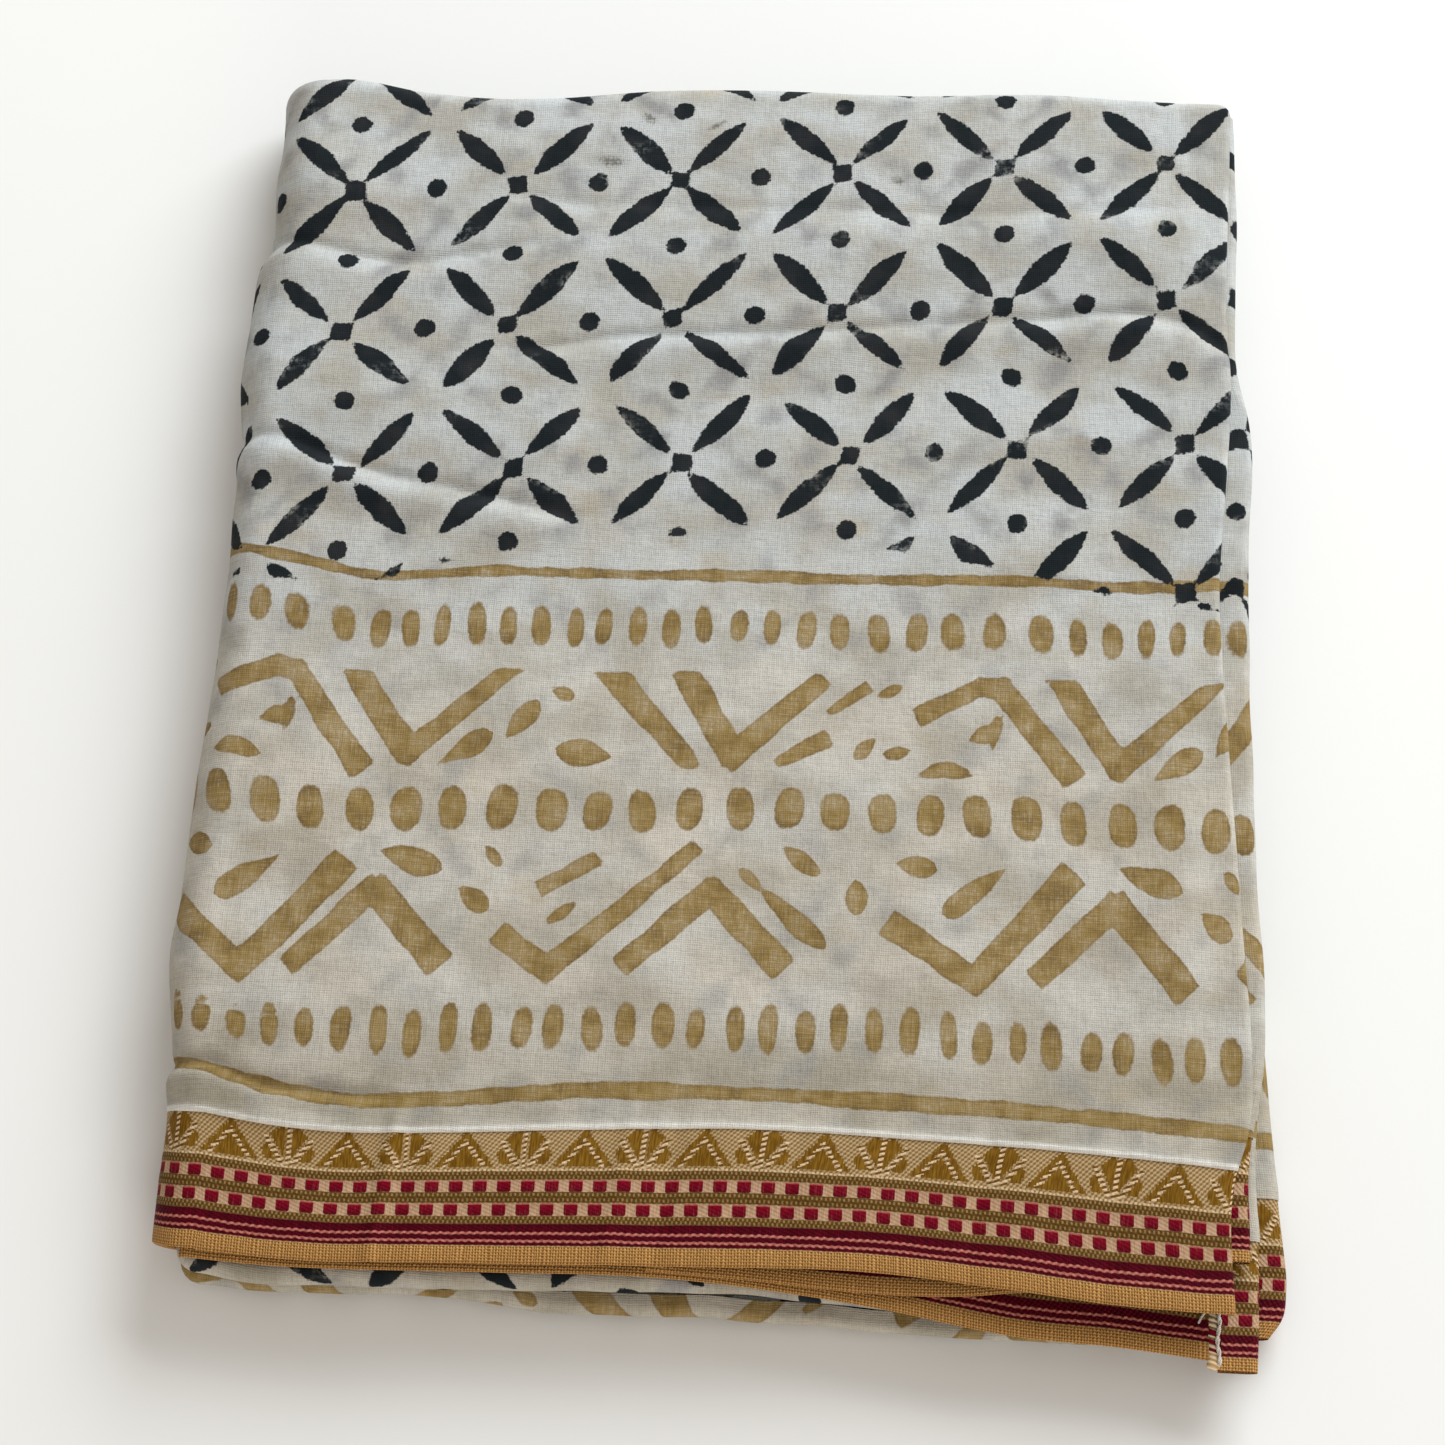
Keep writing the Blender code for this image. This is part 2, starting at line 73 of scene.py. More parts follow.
# Plan lines of the outer ply: (y, x) for the sides, (x, y) for the near and far edges
LEFT_EDGE = (
    (149, -116.4), (123, -114.6), (104, -115.2), (88, -117.5), (46, -117.9), (6, -117.5),
    (-32, -119.0), (-80, -119.7), (-92, -118.4), (-115, -117.7), (-135, -117.7),
)
RIGHT_EDGE = (
    (149, 109.6), (121, 108.8), (94, 107.8), (69, 108.6), (43, 107.0), (21, 105.6), (6, 106.1),
    (-24, 107.8), (-58, 109.9), (-81, 111.5), (-94, 111.6), (-102, 110.4), (-109, 108.2), (-140, 107.7),
)
FAR_EDGE = (
    (-118, 144.4), (-105, 145.6), (-88, 142.9), (-60, 142.0), (-31, 145.3), (-3, 146.9),
    (31, 147.1), (69, 148.9), (90, 148.3), (112, 148.4),
)
SEAM = (
    (-118, -104.6), (-109, -106.2), (-98, -108.0), (-81, -109.1), (-67, -108.6), (-33, -106.4),
    (0, -104.6), (38, -105.0), (80, -106.6), (108, -108.4),
)
SELVEDGE = (
    (-118, -131.6), (-113, -133.6), (-98, -135.4), (-48, -134.8), (-6, -133.6), (34, -133.0),
    (61, -135.2), (85, -137.4), (102, -138.0), (110, -137.9),
)

# The ribbons below the outer one: x, y and top height of the near edge
SECOND_BORDER = (
    (-113, -135.9, 15.4), (-98, -136.8, 15.2), (-48, -136.3, 15.1), (-14, -135.6, 14.5),
    (35, -139.7, 13.3), (61, -143.7, 12.3), (85, -145.1, 11.7), (104, -146.9, 11.5),
)
MIDDLE_BORDER = (
    (-14, -134.6, 15.9), (14, -135.9, 15.4), (28, -136.8, 15.0), (42, -137.0, 14.7), (54, -136.4, 14.5),
    (62, -135.4, 14.3), (72, -134.6, 14.2),
)
SECOND_BORDER_ENDS = (-109.5, 103.6)
MIDDLE_BORDER_ENDS = (-14.0, 72.0)
BORDER_DEPTH = 15.0
BORDER_RISE = 0.25
BORDER_CURL = 1.8

# The folds at the near edge (x, y, middle height, half height) and at the right (y, x, the same)
UPPER_FOLD = (
    (-107, -138.6, 10.4, 2.7), (-98, -140.0, 10.5, 2.75), (-72, -139.8, 10.6, 2.8),
    (-44, -139.4, 10.5, 2.7), (5, -137.9, 9.75, 2.4), (35, -139.4, 9.1, 2.2), (62, -140.6, 8.3, 2.0),
    (94, -141.0, 7.9, 1.9),
)
LOWER_FOLD = (
    (-107, -140.1, 4.8, 2.6), (-98, -140.7, 4.8, 2.6), (-54, -140.7, 4.8, 2.6), (-38, -142.3, 4.7, 2.5),
    (5, -142.1, 4.4, 2.2), (36, -143.4, 4.1, 1.9), (62, -143.8, 3.9, 1.8), (94, -143.3, 3.8, 1.7),
)
FOLD_END = -112.3
FOLD_CORNER = 5.0
FOLD_END_LENGTH = 4.5
FOLD_LEG = 4.3
UPPER_FOLD_RIGHT = 93.0
LOWER_FOLD_RIGHT = 100.0
SECOND_FOLD = (
    (145, 110.9, 15.2, 2.0), (105, 111.0, 15.4, 2.1), (76, 111.1, 15.4, 2.1), (66, 113.2, 15.4, 2.1),
    (31, 112.7, 15.4, 2.1), (-2, 112.8, 15.3, 2.1), (-40, 113.6, 15.1, 2.1), (-71, 115.1, 14.7, 2.1),
    (-88, 114.2, 14.3, 2.1), (-100, 112.0, 14.2, 2.0),
)
SECOND_FOLD_BORDER = (
    (-100, 112.0, 14.2, 2.0), (-110, 111.3, 14.0, 2.0), (-118, 111.2, 13.9, 1.9), (-127, 111.1, 13.8, 1.8),
)
CORNER_FOLD = (
    (-60, 112.9, 9.7, 2.1), (-72, 114.4, 9.7, 2.1), (-88, 114.7, 9.7, 2.1), (-104, 113.5, 9.7, 2.0),
    (-121, 114.0, 9.7, 1.9),
)
CORNER_BORDER = (
    (-121, 114.0, 9.7, 1.9), (-132, 113.6, 9.7, 1.8), (-142, 113.4, 9.7, 1.8), (-148.9, 113.2, 9.7, 1.8),
)
SIDE_FOLD = (
    (-58, 113.6, 4.6, 2.5), (-66, 115.7, 4.6, 2.5), (-84, 116.8, 4.6, 2.5), (-100, 117.8, 4.6, 2.5),
    (-111, 118.9, 4.5, 2.4),
)
SIDE_BORDER = (
    (-111, 118.9, 4.5, 2.4), (-122, 120.0, 4.4, 2.3), (-131, 120.2, 4.3, 2.2), (-137, 119.2, 4.2, 2.1),
    (-141, 116.4, 4.2, 2.1),
)
SECOND_FOLD_LEG = 11.0
CORNER_FOLD_LEG = 13.0
SIDE_FOLD_LEG = 18.0
CORNER_RIBBON_LEG = 8.0
CORNER_SEAM_Y = -120.5
THREAD_RADIUS = 0.26
THREAD_START = -136.8
THREAD_END = -148.0
THREAD_TURN = 5.5 * math.pi
THREAD_TWIST = 0.2
LOOSE_END = (
    # x, y, z
    (104.6, -136.9, 12.4), (103.6, -136.2, 12.9), (102.4, -136.9, 12.8), (101.4, -138.2, 12.1),
    (100.7, -139.6, 11.75),
)
FOLD_OVERLAP = -0.9
FOLD_STANDS_OUT = 0.22
FOLD_TUCK = 6.0
FOLD_TUCK_LENGTH = 16.0
HEM_X = 104.05
HEM_NEAR = -148.9
HEM_FAR = -122.0
HEM_HALF_WIDTH = 1.45
HEM_HALF_HEIGHT = 1.0
HEM_HEIGHT = 11.0
HEM_FLAT_WIDTH = 10.0
HEM_BODY = 0.94

# Hidden layers: how far each ring stands back from the outline, and its height
HIDDEN_RINGS = (
    # near inset, fold it follows, share of its half height, far inset, right inset, corner inset, height
    (6.2, "floor", 0.0, 6.2, 3.0, 3.0, 2.25),
    (6.2, "lower", -0.55, 3.4, 1.6, 1.6, 2.8),
    (6.2, "lower", -0.2, 1.0, 0.4, 0.4, 4.1),
    (3.2, "lower", 0.0, 2.6, 2.4, 2.4, 4.9),
    (6.2, "lower", 0.2, 1.3, 0.8, 0.8, 5.7),
    (11.0, "lower", 0.9, 1.2, 0.7, 0.7, 7.4),
    (6.2, "upper", -0.28, 2.8, 2.2, 2.2, 8.2),
    (2.5, "upper", 0.0, 0.6, 0.0, 0.0, 8.9),
    (6.2, "upper", 0.28, 0.5, 0.1, 0.1, 10.6),
    (6.2, "upper", 0.92, 2.5, 2.6, 1.0, 11.4),
    (36.0, "upper", 1.02, 1.5, 8.2, -0.6, 12.2),
    (36.0, "upper", 1.6, 2.3, 8.2, -0.6, 13.8),
    (36.0, "upper", 1.9, 3.0, 8.2, -0.6, 14.6),
    (37.5, "upper", 1.9, 4.4, 9.4, 0.6, 16.9),
)
HIDDEN_RIGHT = (
    (149, 109.5), (70, 109.5), (10, 110.3), (-42, 110.3), (-50, 107.5), (-57, 103.4), (-145, 102.4),
)
HIDDEN_CORNER_ZONE = (-42.0, -57.0)
HIDDEN_NEAR_ZONE = (-104.0, -122.0)
HIDDEN_LEFT_PULL = 10.0
HIDDEN_SIDE_CLEARANCE = 1.6
PLY_PITCH = 0.66
RING_ROUND = 0.07
RING_EDGE = 0.93
RING_STEP = 1.7
CAP_SCALES = (0.98, 0.8, 0.5, 0.2)
INNER_PLIES_FLAT = (0.235, 0.29)

# The print on the inner plies: where the first one lies, the number of the ply that the cap stands
# for, and the shift from one ply to the next
FIRST_PLY_V = 40.0
CAP_PLY = 40
PLY_SHIFT_U = 8.51
PLY_SHIFT_V = 17.3

# Folds of the top ply that run from left to right: a narrow valley, with a lip on its near side
# and a broad swell behind it
LONG_FOLDS = (
    # plan line of the valley, depth, lip height, lip distance, swell behind the valley
    (((-54, 73.6), (-47.5, 74.5), (-35, 77.3), (-13, 79.2), (15, 81.6), (34, 83.7), (62, 86.3), (90, 88.9),
      (99, 87.0), (108, 81.0)), 0.85, 1.5, 4.6, 1.35),
    (((-113, 100.4), (-105, 99.2), (-92, 96.0), (-81, 95.0), (-67.5, 97.8), (-52, 100.6)),
     0.9, 1.45, 4.8, 1.3),
    (((-118, 49.5), (-108.6, 49.8), (-100, 46.8), (-92, 43.6), (-83.6, 41.1), (-69, 38.4), (-55.4, 35.8),
      (-40, 32.4)), 0.85, 1.4, 4.4, 1.1),
    (((-60, 113.6), (-38, 111.8), (-15, 112.6), (22, 112.8), (46, 113.4), (69, 114.4), (97, 117.6)),
     0.5, 0.8, 5.5, 0.9),
    (((-119, -93.0), (-109, -95.5), (-102.4, -97.8), (-96, -100.0), (-82, -101.2), (-70, -101.8)),
     1.15, 1.1, 3.6, 0.6),
    (((-99, -104.0), (-88, -105.4), (-80, -105.8), (-72, -105.0)), 0.6, 0.2, 3.0, 0.2),
    (((-40, 60.0), (0, 63.0), (40, 66.0), (80, 70.0)), 0.12, 0.2, 8.0, 0.1),
    (((-90, 4.0), (-55, 1.0), (-20, -6.0), (15, -16.0)), 0.12, 0.22, 9.0, 0.12),
    (((-60, -60.0), (-15, -64.0), (35, -60.0), (75, -66.0)), 0.1, 0.22, 8.0, 0.15),
)
SWELL_BEHIND = 18.0
SWELL_HALF = 12.0
VALLEY_BEHIND = 0.3
VALLEY_HALF = 1.5
LIP_NEAR = 1.15
LIP_FAR = 0.62
LONG_FOLD_FADE = 9.0
UPRIGHT_FOLD_FADE = 10.0

# A long fold that starts left of this runs on round the left side
OPEN_LEFT = -110.0
FAR_LEFT = -999.0

# Soft waves of the whole top ply: height, wavelength, seed
SOFT_WAVES = ((0.36, 36, 3), (0.1, 14, 5))

# Folds that run away from the viewer: the crest's plan line as (y, x), its height and half width
UPRIGHT_FOLDS = (
    (((-90, 97.0), (-50, 96.0), (-10, 92.0), (10, 88.0)), 0.55, 5.5),
    (((-95, 105.5), (-40, 103.0), (20, 101.5)), -0.35, 3.6),
    (((-52, -88.4), (-30, -89.7), (-7, -96.7), (14, -99.0)), 0.5, 5.5),
    (((92, 88.4), (105, 86.0), (122, 83.6)), 0.4, 3.8),
    (((124, 100.8), (136, 98.6), (148, 97.0)), -0.5, 1.7),
    (((118, 95.8), (132, 94.2), (146, 92.6)), -0.3, 1.8),
    (((20, 97.5), (45, 99.5), (70, 101.0)), -0.3, 4.0),
    (((-70, -110.0), (-30, -108.5), (10, -109.0), (36, -108.0)), -0.35, 4.0),
    (((108, -108.0), (124, -104.0), (140, -103.0)), 0.7, 5.0),
)

# Small gathers where the cloth is sewn to the ribbon: x, height, half width, length
GATHERS = (
    (-68.0, 0.9, 1.7, 9.0), (-59.0, 0.35, 3.0, 9.0), (-44.0, -0.25, 2.6, 8.0), (-19.0, 0.55, 1.8, 11.0),
    (-9.0, -0.5, 2.2, 12.0), (2.0, 0.3, 3.0, 9.0), (17.0, -0.35, 2.0, 8.0), (31.0, 0.25, 3.0, 8.0),
    (56.0, -0.45, 2.0, 9.0), (66.0, 0.3, 3.2, 9.0), (84.0, -0.3, 2.4, 8.0), (98.0, 0.35, 3.0, 10.0),
)

# Steps of the fine surfaces
RIBBON_ROWS = 52
STRIP_ROWS = 32
STRIP_STEP = 0.9
FOLD_PLIES = 3
HEM_ROWS = 90
HEM_TURNS = 21
THREAD_POINTS = 56
RING_POINTS = 150
UNDER_STEPS = 46
LEFT_STEPS = 26
TOP_STEPS = 232
RIGHT_STEPS = 8
RIGHT_TURN = 165.0
PANEL_ROWS = 236
FAR_TURNS = 12
NEAR_ROOM = 3.0
PANEL_REACH = 90.0
# How far from the seam the painted highlight on the turned edge runs out
EDGE_HIGHLIGHT_ENDS = (0.5, 1.3)
NEAR_ROWS = ((-0.15, -0.55), (-0.3, -0.2), (-0.2, 0.12), (0.15, 0.32), (0.6, 0.36), (1.1, 0.3), (1.6, 0.12),
             (2.2, 0.02), (NEAR_ROOM, 0.0))

# The ribbon's width as drawn, and its relief: place from the seam, height, half width
RIBBON_WIDTH = 29.0
RIBBON_UNDER_CLOTH = 0.8
RIM_V = RIBBON_WIDTH + np.array([1.2, 0.9, 0.5, 0.2])
OUTER_RIM = (
    # y from the edge, height from the face
    (0.1, -1.0), (-0.25, -0.75), (-0.3, -0.35), (-0.12, -0.08),
)
RIBBON_RELIEF = (
    (10.7, 0.22, 0.8), (15.3, 0.22, 1.0), (20.1, 0.2, 0.7), (12.9, -0.08, 1.2), (17.9, -0.08, 1.3),
    (25.3, -0.1, 0.5), (27.3, 0.16, 1.6),
)


def through(rows, at, column=1):
    """A smooth curve through a column of the rows, whose first column is the place, read at places."""
    table = np.array(rows, float)
    table = table[np.argsort(table[:, 0])]
    place, value = table[:, 0], table[:, column]
    slope = np.gradient(value, place)
    at = np.clip(at, place[0], place[-1])
    i = np.clip(np.searchsorted(place, at, side="right") - 1, 0, len(place) - 2)
    span = place[i + 1] - place[i]
    t = (at - place[i]) / span
    rise = value[i] * (2 * t**3 - 3 * t**2 + 1) + value[i + 1] * (3 * t**2 - 2 * t**3)
    bend = slope[i] * (t**3 - 2 * t**2 + t) + slope[i + 1] * (t**3 - t**2)
    return rise + bend * span


def ease(value, start, end):
    """0 before start, 1 after end, smooth in between."""
    t = np.clip((value - start) / (end - start), 0, 1)
    return t * t * (3 - 2 * t)


def bell(distance, half_width):
    return np.exp(-((distance / half_width) ** 2))


def ripple(x, y, scale, seed):
    """Soft seeded waves, roughly -1 to 1, with wavelengths near the scale."""
    draws = np.random.default_rng(seed)
    total = 0.0
    for _ in range(12):
        turn, phase = draws.uniform(0, 2 * np.pi, 2)
        wave = 2 * np.pi / (scale * draws.uniform(0.7, 1.8))
        total = total + np.sin(wave * (x * np.cos(turn) + y * np.sin(turn)) + phase)
    return total / 4.5


def faded(at, start, end, room):
    """1 from start to end, running out over the room on both sides of each."""
    return ease(at, start - room, start + room) * (1 - ease(at, end - room, end + room))


def fold_height(x, y):
    """The folds, gathers and soft waves of the top ply."""
    total = sum(height * ripple(x, y, length, seed) for height, length, seed in SOFT_WAVES)
    for number, (line, depth, lip, distance, swell) in enumerate(LONG_FOLDS):
        start = line[0][0] if line[0][0] > OPEN_LEFT else FAR_LEFT
        behind = y - through(line, x)
        uneven = 1 + 0.22 * ripple(x, y * 0.2, 40, 100 + number)
        shape = -depth * bell(behind - VALLEY_BEHIND, VALLEY_HALF)
        shape = shape + swell * bell(behind - SWELL_BEHIND, SWELL_HALF)
        near_side = np.where(behind > -distance, distance * LIP_FAR, distance * LIP_NEAR)
        shape = shape + lip * bell(behind + distance, near_side)
        total = total + faded(x, start, line[-1][0], LONG_FOLD_FADE) * uneven * shape
    for line, height, half_width in UPRIGHT_FOLDS:
        fade = faded(y, line[0][0], line[-1][0], UPRIGHT_FOLD_FADE)
        total = total + height * fade * bell(x - through(line, y), half_width)
    above_seam = y - through(SEAM, x)
    for place, height, half_width, length in GATHERS:
        fade = 1 - ease(above_seam, length * 0.35, length)
        lean = place + 0.12 * above_seam
        total = total + height * fade * bell(x - lean, half_width)
    return total


def top_height(x, y):
    return through(TOP_HEIGHT, y) + through(TOP_CROWN, x)


def outer_point(kind, place, y, roll, lift):
    """The x, z and cloth length of one station of the outer ply along y, rolled over at the far edge."""
    curl = 1 - np.cos(roll)
    left = through(LEFT_EDGE, y) + CORNER_PULL * curl + LEFT_RADIUS
    right = through(RIGHT_EDGE, y) - CORNER_PULL * curl - RIGHT_RADIUS
    floor = UNDER_RADIUS * curl
    round_length = np.pi * (LEFT_RADIUS + 0.4)
    if kind == "under":
        x = left + (TUCKED_EDGE - left) * place
        return x, floor, 2 * left - round_length - x
    x = {"left": left, "right": right}.get(kind, left + (right - left) * place)
    folds = fold_height(x, y)
    top = top_height(x, y) + folds * np.cos(np.clip(roll, 0, 1.5)) + lift - FAR_RADIUS * curl
    if kind == "top":
        return x, top, x
    angle = np.radians(place)
    if kind == "left":
        middle = (top + floor) / 2
        bulge = 0.6 * folds + 0.5 * ripple(y, 6 * angle, 30, 8)
        x_round = x - (LEFT_RADIUS + bulge * np.sin(angle)) * np.sin(angle)
        return x_round, middle - (middle - floor) * np.cos(angle), left - round_length * (1 - place / 180)
    radius = RIGHT_RADIUS
    return x + radius * np.sin(angle), top - radius * (1 - np.cos(angle)), x + radius * angle


def nominal_x(kind, place):
    """The x at which a station's near and far lines are read. The side's runs on into the top's."""
    if kind == "left":
        return NOMINAL_SIDE + (NOMINAL_LEFT - NOMINAL_SIDE) * ease(place, 90, 180)
    if kind == "right":
        return NOMINAL_RIGHT
    return NOMINAL_LEFT + (NOMINAL_RIGHT - NOMINAL_LEFT) * place


def outer_stations():
    return (
        [("under", place) for place in np.linspace(1, 0, UNDER_STEPS + 1)[:-1]]
        + [("left", degrees) for degrees in np.linspace(0, 180, LEFT_STEPS)]
        + [("top", place) for place in np.linspace(0, 1, TOP_STEPS)[1:]]
        + [("right", degrees) for degrees in np.linspace(0, RIGHT_TURN, RIGHT_STEPS + 1)[1:]]
    )


# The black print: a lattice of squares, each with four leaves, and dots between them
LATTICE_X = 3.1
LATTICE_COLUMNS = 37.9
LATTICE_V = 48.1
LATTICE_ROWS = 36.5
LATTICE_SLOPE = 0.089
LATTICE_SHIFT = -4.0
SQUARE_HALF = 2.3
DOT_RADIUS = 2.4
LEAF_START = 3.4
LEAF_END = 22.0
LEAF_HALF_WIDTH = 2.45
LEAF_BLUNTNESS = 0.7
BLACK_END = (
    (-125, 17.0), (-104, 14.5), (-84, 14.5), (-66, 20.0), (-50, 24.0), (60, 23.5), (90, 17.0), (112, 16.0),
)
# Small random shifts, one set for each print of the block
JITTERS = 16
JITTER = np.random.default_rng(11).uniform(-1, 1, (JITTERS, JITTERS, 4, 5))
# What a print field gives far outside every shape
OUTSIDE = -9.0
SHOW_THROUGH = (16.5, 9.0)

# The gold band in rows along the ribbon: how far each row strays from a straight line, by x
BAND_STRAY = (
    # x, upper rows, middle row, lower rows, lower line
    (-135, 4.0, 1.6, 0.0, 4.0), (-115, 3.0, 0.5, -1.7, 2.5), (-98, -0.3, -2.2, -4.4, -2.1),
    (-82, -3.2, -3.3, -4.3, -4.7), (-60, -1.4, -2.0, -2.4, -4.0), (-30, -0.6, -1.6, -0.8, -0.9),
    (0, 0.3, 1.0, 0.0, 0.2), (30, 0.8, 1.3, 1.0, -0.2), (60, 2.0, 1.4, 0.0, -0.9),
    (90, 1.8, 0.3, -2.0, -2.3), (110, 4.0, 0.5, -2.9, -3.6),
)
UPPER_LINE = (19.3, 1.3)
LOWER_LINE = (-97.5, 1.7)
OVAL_ROWS = (
    # v, half width, half height, pitch, x of one oval
    (6.8, 2.1, 4.5, 7.6, 0.9),
    (-35.5, 3.15, 4.8, 10.33, -9.3),
    (-83.8, 2.1, 4.8, 7.52, 1.8),
)
BAND_ROWS = (*(row[0] for row in OVAL_ROWS), LOWER_LINE[0])
OVAL_POWER = 2.4
OVAL_SHIFTS = (
    # x, shift of the first row, which is unevenly spaced
    (-108, 2.9), (-99, 1.1), (-89, -1.2), (-52, 0), (46, 0), (66, -3.9), (90, -4.3),
)
BARE_LINE = (-80.8, 0.3, -94.0)

# Bars and drops of the gold band, drawn freely. A bar has square ends, a drop round ones
LEVEL_TOP = -3.6
LEVEL_BARS = (
    # bars whose upper ends are cut level
    (-86.5, -1.0, -71.0, -24.0, 3.2, 3.0), (-73.5, -24.0, -48.5, -2.0, 2.9, 1.9),
    (-31.0, -1.0, -11.0, -24.5, 3.3, 2.2), (-13.5, -2.0, -0.5, -25.0, 3.1, 3.2),
    (-3.0, -25.5, 18.5, -4.6, 3.1, 2.2),
)
UPPER_BARS = (
    # x, v, x, v, half width at each end
    (19.0, -13.0, 28.5, -6.0, 1.1, 1.6), (8.0, -25.5, 20.0, -18.5, 1.3, 2.4),
    (38.5, -13.5, 54.0, -5.5, 2.4, 2.1), (52.0, -6.0, 59.0, -6.6, 2.3, 2.6),
    (56.0, -5.0, 73.5, -26.5, 2.6, 3.1),
)
UPPER_DROPS = (
    (-65.0, -25.5, -55.5, -19.5, 0.6, 2.6), (-50.3, -19.0, -45.2, -12.5, 1.4, 2.4),
    (-41.5, -8.0, -37.5, -9.5, 0.9, 1.6), (-37.5, -22.0, -29.0, -23.0, 2.9, 1.9),
    (30.6, -8.3, 34.3, -6.6, 1.2, 1.3), (26.4, -22.5, 29.6, -18.8, 1.7, 1.1),
    (32.4, -22.2, 37.2, -21.3, 1.3, 0.9), (49.8, -18.8, 54.8, -16.6, 0.5, 2.1),
    (55.4, -20.6, 56.6, -13.4, 0.7, 1.4), (38.8, -27.2, 45.0, -25.2, 0.4, 1.9),
    (45.0, -25.2, 51.2, -26.4, 1.9, 0.4), (-12.0, -24.0, -8.3, -26.2, 2.0, 0.5),
)
LOWER_BARS = (
    (-94.0, -70.5, -75.5, -51.5, 2.6, 2.9), (-77.5, -51.5, -61.0, -70.5, 3.2, 3.3),
    (-41.5, -53.5, -28.5, -45.8, 1.9, 2.0), (-49.5, -63.0, -37.0, -72.5, 2.8, 2.7),
    (-40.5, -73.0, -7.5, -44.0, 2.8, 1.9), (-23.0, -71.0, -3.0, -53.0, 2.6, 3.0),
    (-5.5, -53.0, 12.0, -71.0, 3.0, 3.3), (33.5, -60.0, 54.5, -73.0, 3.2, 2.8),
    (51.0, -73.5, 73.5, -46.5, 2.8, 3.4),
)
LOWER_DROPS = (
    (-75.8, -44.6, -64.5, -48.6, 1.2, 2.9), (-52.8, -44.6, -50.4, -47.8, 1.2, 1.4),
    (-57.6, -53.8, -53.4, -57.2, 1.5, 2.4), (-38.6, -60.4, -33.4, -56.4, 1.2, 0.8),
    (2.2, -50.0, 6.0, -53.4, 1.5, 1.2), (6.0, -53.4, 19.4, -65.2, 1.1, 2.4),
    (11.4, -44.8, 17.8, -49.4, 1.6, 1.9), (26.8, -52.2, 27.0, -57.0, 2.0, 2.3),
    (47.2, -56.6, 58.6, -47.0, 2.4, 0.4), (35.4, -46.8, 42.0, -47.8, 0.9, 2.4),
)
LOWER_REPEATS = (-314.0, -156.5, 0.0, 159.0)
UPPER_REPEATS = (-310.0, -155.0, 0.0, 155.0)


def lattice(u, v):
    row = (v - LATTICE_SLOPE * u - LATTICE_V) / LATTICE_ROWS
    column = (u - LATTICE_X - LATTICE_SHIFT * ease(row, 0.2, 0.9)) / LATTICE_COLUMNS + 0.5
    return column, row


def lattice_field(u, v):
    """How far a point of the cloth is inside the lattice's shapes, in millimetres."""
    column, row = lattice(u, v)
    best = np.full(u.shape, OUTSIDE)
    for column_offset, row_offset in ((0.5, 0.0), (0.0, 0.5)):
        across = (column - column_offset - np.round(column - column_offset)) * LATTICE_COLUMNS
        along = (row - row_offset - np.round(row - row_offset)) * LATTICE_ROWS
        best = np.maximum(best, DOT_RADIUS - np.hypot(across, along))
    i, j = np.round(column).astype(int), np.round(row).astype(int)
    across, along = (column - i) * LATTICE_COLUMNS, (row - j) * LATTICE_ROWS
    jitter = JITTER[i % JITTERS, j % JITTERS, 0]
    tilt = 0.12 * jitter[:, 0]
    reach = np.maximum(abs(across + tilt * along), abs(along - tilt * across))
    best = np.maximum(best, SQUARE_HALF * (1 + 0.1 * jitter[:, 1]) - reach)
    quarter = (across > 0) * 1 + (along > 0) * 2
    jitter = JITTER[i % JITTERS, j % JITTERS, quarter]
    out = (abs(across) + abs(along)) / np.sqrt(2)
    aside = (abs(across) - abs(along)) / np.sqrt(2) + 0.6 * jitter[:, 0] + 0.035 * jitter[:, 1] * (out - 12)
    start, end = LEAF_START + 0.9 * jitter[:, 2], LEAF_END + 1.1 * jitter[:, 3]
    place = (out - start) / (end - start)
    profile = np.sin(np.pi * np.clip(place, 0, 1)) ** LEAF_BLUNTNESS
    half = LEAF_HALF_WIDTH * (1 + 0.12 * jitter[:, 4]) * profile
    leaf = np.minimum(half - abs(aside), np.minimum(out - start, end - out))
    return np.maximum(best, leaf) + 0.18 * ripple(u, v, 6, 43)


def black_field(u, v):
    """How far a point of the cloth is inside the black print, in millimetres."""
    return np.minimum(lattice_field(u, v), (v - through(BLACK_END, u)) * 0.8)


def below_field(u, v):
    """The print of the plies below, which shows through."""
    return lattice_field(u + SHOW_THROUGH[0], v + SHOW_THROUGH[1])


def straight_v(u, v):
    """v with the band's straying from a straight line taken out."""
    strays = [through(BAND_STRAY, u, column) for column in (1, 2, 3, 4)]
    total = strays[0]
    for i in range(3):
        share = np.clip((BAND_ROWS[i] - v) / (BAND_ROWS[i] - BAND_ROWS[i + 1]), 0, 1)
        total = np.where(v < BAND_ROWS[i], strays[i] + (strays[i + 1] - strays[i]) * share, total)
    return v - total


